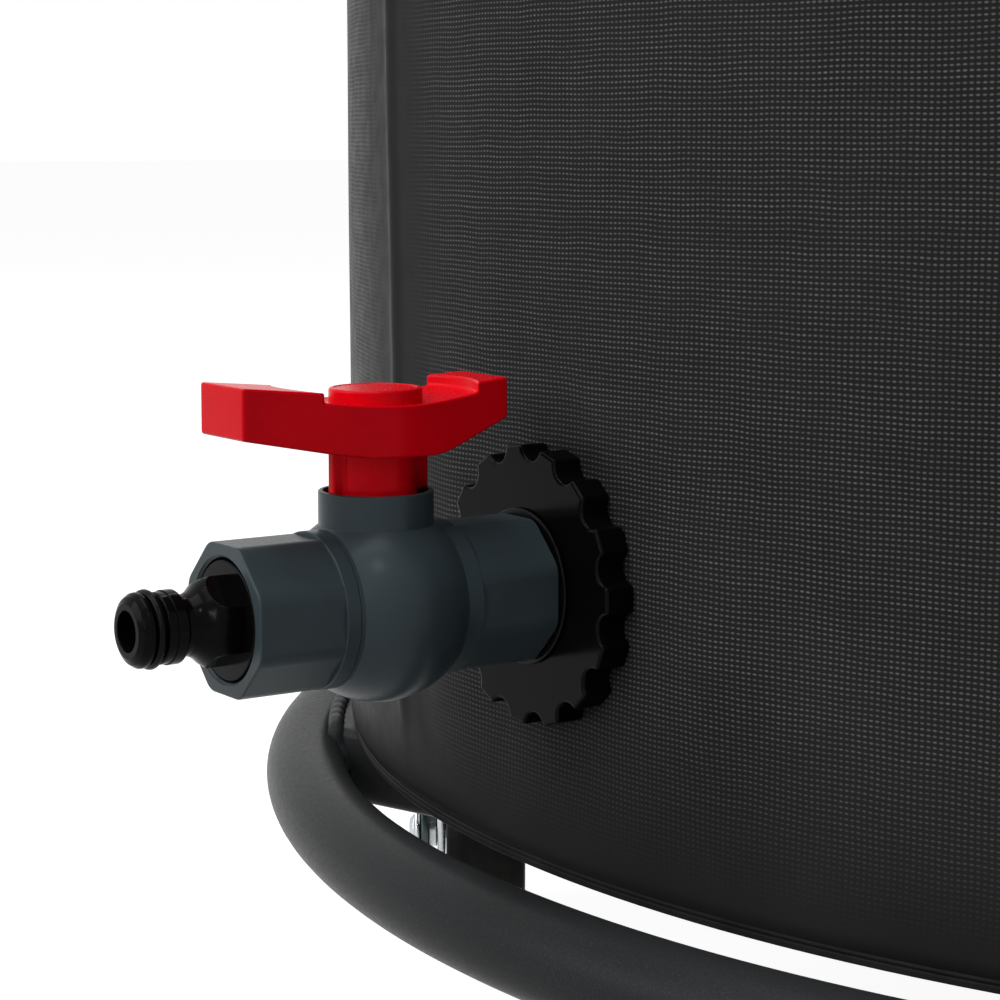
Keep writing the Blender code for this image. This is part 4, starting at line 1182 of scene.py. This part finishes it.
def make_overflow():
    """The overflow spigot near the rim and the ring nut that holds it inside."""
    profile = [(9, -16, 0.4), (12, -16, 0.5), (12, 0.4), (21, 0.4, 0.5), (21, 4, 1), (11.5, 4, 1), (11.5, 14),
               (13, 15, 0.3), (11.6, 20), (11.6, 21), (13, 22, 0.3), (11.6, 27), (11.6, 28),
               (13.3, 29.5, 0.3), (11.5, 36), (11.5, 40, 0.5), (9, 40, 0.4)]
    spout = placed(lathed(profile), OVERFLOW)
    finished(spout, "overflow_spout", "black_polypropylene", stands_for=["overflow_spigot"])
    notches = 12
    corners = []
    for i in range(notches):
        for share, radius in ((-0.15, 17.4), (0.15, 17.4), (0.28, 19), (0.72, 19)):
            angle = (i + share) * FULL_TURN / notches
            corners.append((radius * math.cos(angle), radius * math.sin(angle), 0.8))
    nut = extruded(softened(in_mm(corners), 3), -9 * MM, -3.2 * MM)
    combined(nut, "DIFFERENCE", drill(12.3, -20, 5, 64))
    bevelled(nut, 0.5 * MM, 3, 50)
    finished(placed(nut, OVERFLOW), "overflow_ring_nut", "black_polypropylene", stands_for=["overflow_nut"])


# Stage

# Camera of the photograph: its place, the way it looks, its lens and its small shift
CAMERA_PLACE = (0.46902, -0.59095, 0.26494)
CAMERA_HEADING = math.radians(145.877)
CAMERA_PITCH = 0.10165
CAMERA_LENS = 95.45
CAMERA_SHIFT = -0.10

# How strongly the world lights the object, and the greys and glow of the floor
AMBIENT = 0.14
FLOOR_SENDS_BACK = 0.36
FLOOR_SHOWS = 0.3
FLOOR_GLOW = 0.93


def make_camera():
    data = bpy.data.cameras.new("camera")
    data.lens = CAMERA_LENS
    data.sensor_width = 36
    data.shift_y = CAMERA_SHIFT
    data.clip_start = 0.01
    made = bpy.data.objects.new("camera", data)
    bpy.context.scene.collection.objects.link(made)
    made.location = CAMERA_PLACE
    made.rotation_euler = (math.pi / 2 - CAMERA_PITCH, 0, CAMERA_HEADING - math.pi / 2)
    bpy.context.scene.camera = made


def seen_directly(tree):
    """1 for rays from the camera, and for those that gloss or glass sends on, else 0."""
    path = add_node(tree, "ShaderNodeLightPath")
    seen = path.outputs["Is Camera Ray"]
    for sent_on in ("Is Glossy Ray", "Is Transmission Ray"):
        seen = add_node(tree, "ShaderNodeMath", {0: seen, 1: path.outputs[sent_on]}, operation="MAXIMUM")
    return seen


def make_world():
    """White where it is seen, and a soft even fill where it lights."""
    made = bpy.data.worlds.new("studio")
    bpy.context.scene.world = made
    made.use_nodes = True
    tree = made.node_tree
    tree.nodes.clear()
    strength = add_node(tree, "ShaderNodeMapRange", {
        "Value": seen_directly(tree), "To Min": AMBIENT, "To Max": 1.0})
    light = add_node(tree, "ShaderNodeBackground", {"Color": (1, 1, 1, 1), "Strength": strength})
    add_node(tree, "ShaderNodeOutputWorld", {"Surface": light})


def make_floor():
    """A plain white floor that still takes the object's shadow."""
    bpy.ops.object.select_all(action="DESELECT")
    bpy.ops.mesh.primitive_plane_add(size=40)
    made = bpy.context.object
    made.name = "studio_floor"
    material = bpy.data.materials.new("white_floor")
    material.use_nodes = True
    tree = material.node_tree
    tree.nodes.clear()
    # The glow and what the lamps add to the faint grey come to white, but for the shadow
    matt = add_node(tree, "ShaderNodeBsdfDiffuse", {"Color": (FLOOR_SENDS_BACK,) * 3 + (1,)})
    faint = add_node(tree, "ShaderNodeBsdfDiffuse", {"Color": (FLOOR_SHOWS,) * 3 + (1,)})
    glow = add_node(tree, "ShaderNodeEmission", {"Color": (1, 1, 1, 1), "Strength": FLOOR_GLOW})
    bright = add_node(tree, "ShaderNodeAddShader", {0: faint, 1: glow})
    shown = add_node(tree, "ShaderNodeMixShader", {0: seen_directly(tree), 1: matt, 2: bright})
    add_node(tree, "ShaderNodeOutputMaterial", {"Surface": shown})
    made.data.materials.append(material)


def make_softbox(name, place, target, width, height, power):
    """A softbox at a place, facing a target."""
    data = bpy.data.lights.new(name, "AREA")
    data.shape = "RECTANGLE"
    data.size, data.size_y = width, height
    data.energy = power
    made = bpy.data.objects.new(name, data)
    bpy.context.scene.collection.objects.link(made)
    made.location = place
    made.rotation_euler = (Vector(target) - Vector(place)).to_track_quat("-Z", "Y").to_euler()


def make_lights():
    valve = (0, -0.3, 0.17)
    make_softbox("key_softbox", (-0.7, -2.05, 1.3), valve, 1.7, 1.7, 28)
    make_softbox("top_softbox", (-0.2, -0.5, 2.4), (0, 0, 0.4), 1.6, 1.6, 28)
    make_softbox("high_softbox", (0.76, -0.72, 1.3), valve, 0.08, 0.08, 2.2)
    make_softbox("front_strip", (0.74, -1.62, 0.72), valve, 0.05, 0.6, 3.4)
    # These light the back, and the tank keeps them off the valve
    make_softbox("right_back_softbox", (1.3, 2.1, 1.5), (0, 0, 0.4), 1.6, 1.6, 30)
    make_softbox("left_back_softbox", (-1.6, 1.5, 2.3), (0, 0, 0.4), 0.9, 0.9, 26)


# Operators


class WATERBUTT_OT_stage(bpy.types.Operator):
    """Camera, softboxes, floor and white background"""

    bl_idname = "water_butt.stage"
    bl_label = "Stage"

    def execute(self, context):
        context.scene.view_settings.view_transform = "Standard"
        make_camera()
        make_world()
        make_floor()
        make_lights()
        return {"FINISHED"}


class WATERBUTT_OT_materials(bpy.types.Operator):
    """Every material of the butt, and the inner valve parts that keep their CAD shape"""

    bl_idname = "water_butt.materials"
    bl_label = "Materials"

    def execute(self, context):
        make_materials()
        dress_inner_parts()
        return {"FINISHED"}


class WATERBUTT_OT_tank(bpy.types.Operator):
    """Fabric wall and floor with their welded foot seam"""

    bl_idname = "water_butt.tank"
    bl_label = "Tank"

    def execute(self, context):
        make_tank()
        make_foot_seam()
        return {"FINISHED"}


class WATERBUTT_OT_rods(bpy.types.Operator):
    """The rim's hoop, and the rods in their pockets"""

    bl_idname = "water_butt.rods"
    bl_label = "Hoop and Rods"

    def execute(self, context):
        make_hoop_and_rods()
        make_rod_pockets()
        return {"FINISHED"}


class WATERBUTT_OT_cover(bpy.types.Operator):
    """Fabric cover with its bound edges"""

    bl_idname = "water_butt.cover"
    bl_label = "Cover"

    def execute(self, context):
        make_cover()
        make_cover_bindings()
        return {"FINISHED"}


class WATERBUTT_OT_strainer(bpy.types.Operator):
    """Slotted bowl in the cover's hole"""

    bl_idname = "water_butt.strainer"
    bl_label = "Strainer"

    def execute(self, context):
        make_strainer()
        return {"FINISHED"}


class WATERBUTT_OT_frame(bpy.types.Operator):
    """Ring, bars and weld beads"""

    bl_idname = "water_butt.frame"
    bl_label = "Frame"

    def execute(self, context):
        make_frame_ring()
        make_long_bar(1, -1)
        make_long_bar(2, 1)
        make_cross_bar(3, -1)
        make_cross_bar(4, 1)
        return {"FINISHED"}


class WATERBUTT_OT_castors(bpy.types.Operator):
    """Forks, wheels, stems and brake levers"""

    bl_idname = "water_butt.castors"
    bl_label = "Castors"

    def execute(self, context):
        make_castors()
        return {"FINISHED"}


class WATERBUTT_OT_outlet(bpy.types.Operator):
    """Lobed nut, bush and seals in the wall"""

    bl_idname = "water_butt.outlet"
    bl_label = "Outlet"

    def execute(self, context):
        make_flange_nut()
        make_outlet_bush()
        make_outlet_seals()
        return {"FINISHED"}


class WATERBUTT_OT_valve(bpy.types.Operator):
    """Ball housing and front socket"""

    bl_idname = "water_butt.valve"
    bl_label = "Valve"

    def execute(self, context):
        make_valve_body()
        make_end_socket()
        return {"FINISHED"}


class WATERBUTT_OT_lever(bpy.types.Operator):
    """Red valve lever"""

    bl_idname = "water_butt.lever"
    bl_label = "Lever"

    def execute(self, context):
        make_lever()
        return {"FINISHED"}


class WATERBUTT_OT_nose(bpy.types.Operator):
    """Hose nose and its seal"""

    bl_idname = "water_butt.nose"
    bl_label = "Hose Nose"

    def execute(self, context):
        make_nose()
        return {"FINISHED"}


class WATERBUTT_OT_overflow(bpy.types.Operator):
    """Overflow spout and ring nut"""

    bl_idname = "water_butt.overflow"
    bl_label = "Overflow"

    def execute(self, context):
        make_overflow()
        return {"FINISHED"}


OPERATORS = (
    WATERBUTT_OT_stage, WATERBUTT_OT_materials, WATERBUTT_OT_tank, WATERBUTT_OT_rods, WATERBUTT_OT_cover,
    WATERBUTT_OT_strainer, WATERBUTT_OT_frame, WATERBUTT_OT_castors, WATERBUTT_OT_outlet, WATERBUTT_OT_valve,
    WATERBUTT_OT_lever, WATERBUTT_OT_nose, WATERBUTT_OT_overflow,
)


class WATERBUTT_PT_panel(bpy.types.Panel):
    """Lists the steps in the order in which they are run, and the sizes and colours they use"""

    bl_label = "Water Butt"
    bl_space_type = "VIEW_3D"
    bl_region_type = "UI"
    bl_category = "Water Butt"

    def draw(self, context):
        for kind in OPERATORS:
            self.layout.operator(kind.bl_idname)
        for group in (context.scene.water_butt_sizes, context.scene.water_butt_colours):
            box = self.layout.box()
            for name in group.__annotations__:
                box.prop(group, name)


CLASSES = (WaterButtSizes, WaterButtColours, *OPERATORS, WATERBUTT_PT_panel)


def register():
    for kind in CLASSES:
        bpy.utils.register_class(kind)
    bpy.types.Scene.water_butt_sizes = bpy.props.PointerProperty(type=WaterButtSizes)
    bpy.types.Scene.water_butt_colours = bpy.props.PointerProperty(type=WaterButtColours)


def unregister():
    del bpy.types.Scene.water_butt_colours
    del bpy.types.Scene.water_butt_sizes
    for kind in reversed(CLASSES):
        bpy.utils.unregister_class(kind)


def main():
    register()
    bpy.ops.water_butt.stage()
    bpy.ops.water_butt.materials()
    bpy.ops.water_butt.tank()
    bpy.ops.water_butt.rods()
    bpy.ops.water_butt.cover()
    bpy.ops.water_butt.strainer()
    bpy.ops.water_butt.frame()
    bpy.ops.water_butt.castors()
    bpy.ops.water_butt.outlet()
    bpy.ops.water_butt.valve()
    bpy.ops.water_butt.lever()
    bpy.ops.water_butt.nose()
    bpy.ops.water_butt.overflow()


if __name__ == "__main__":
    main()
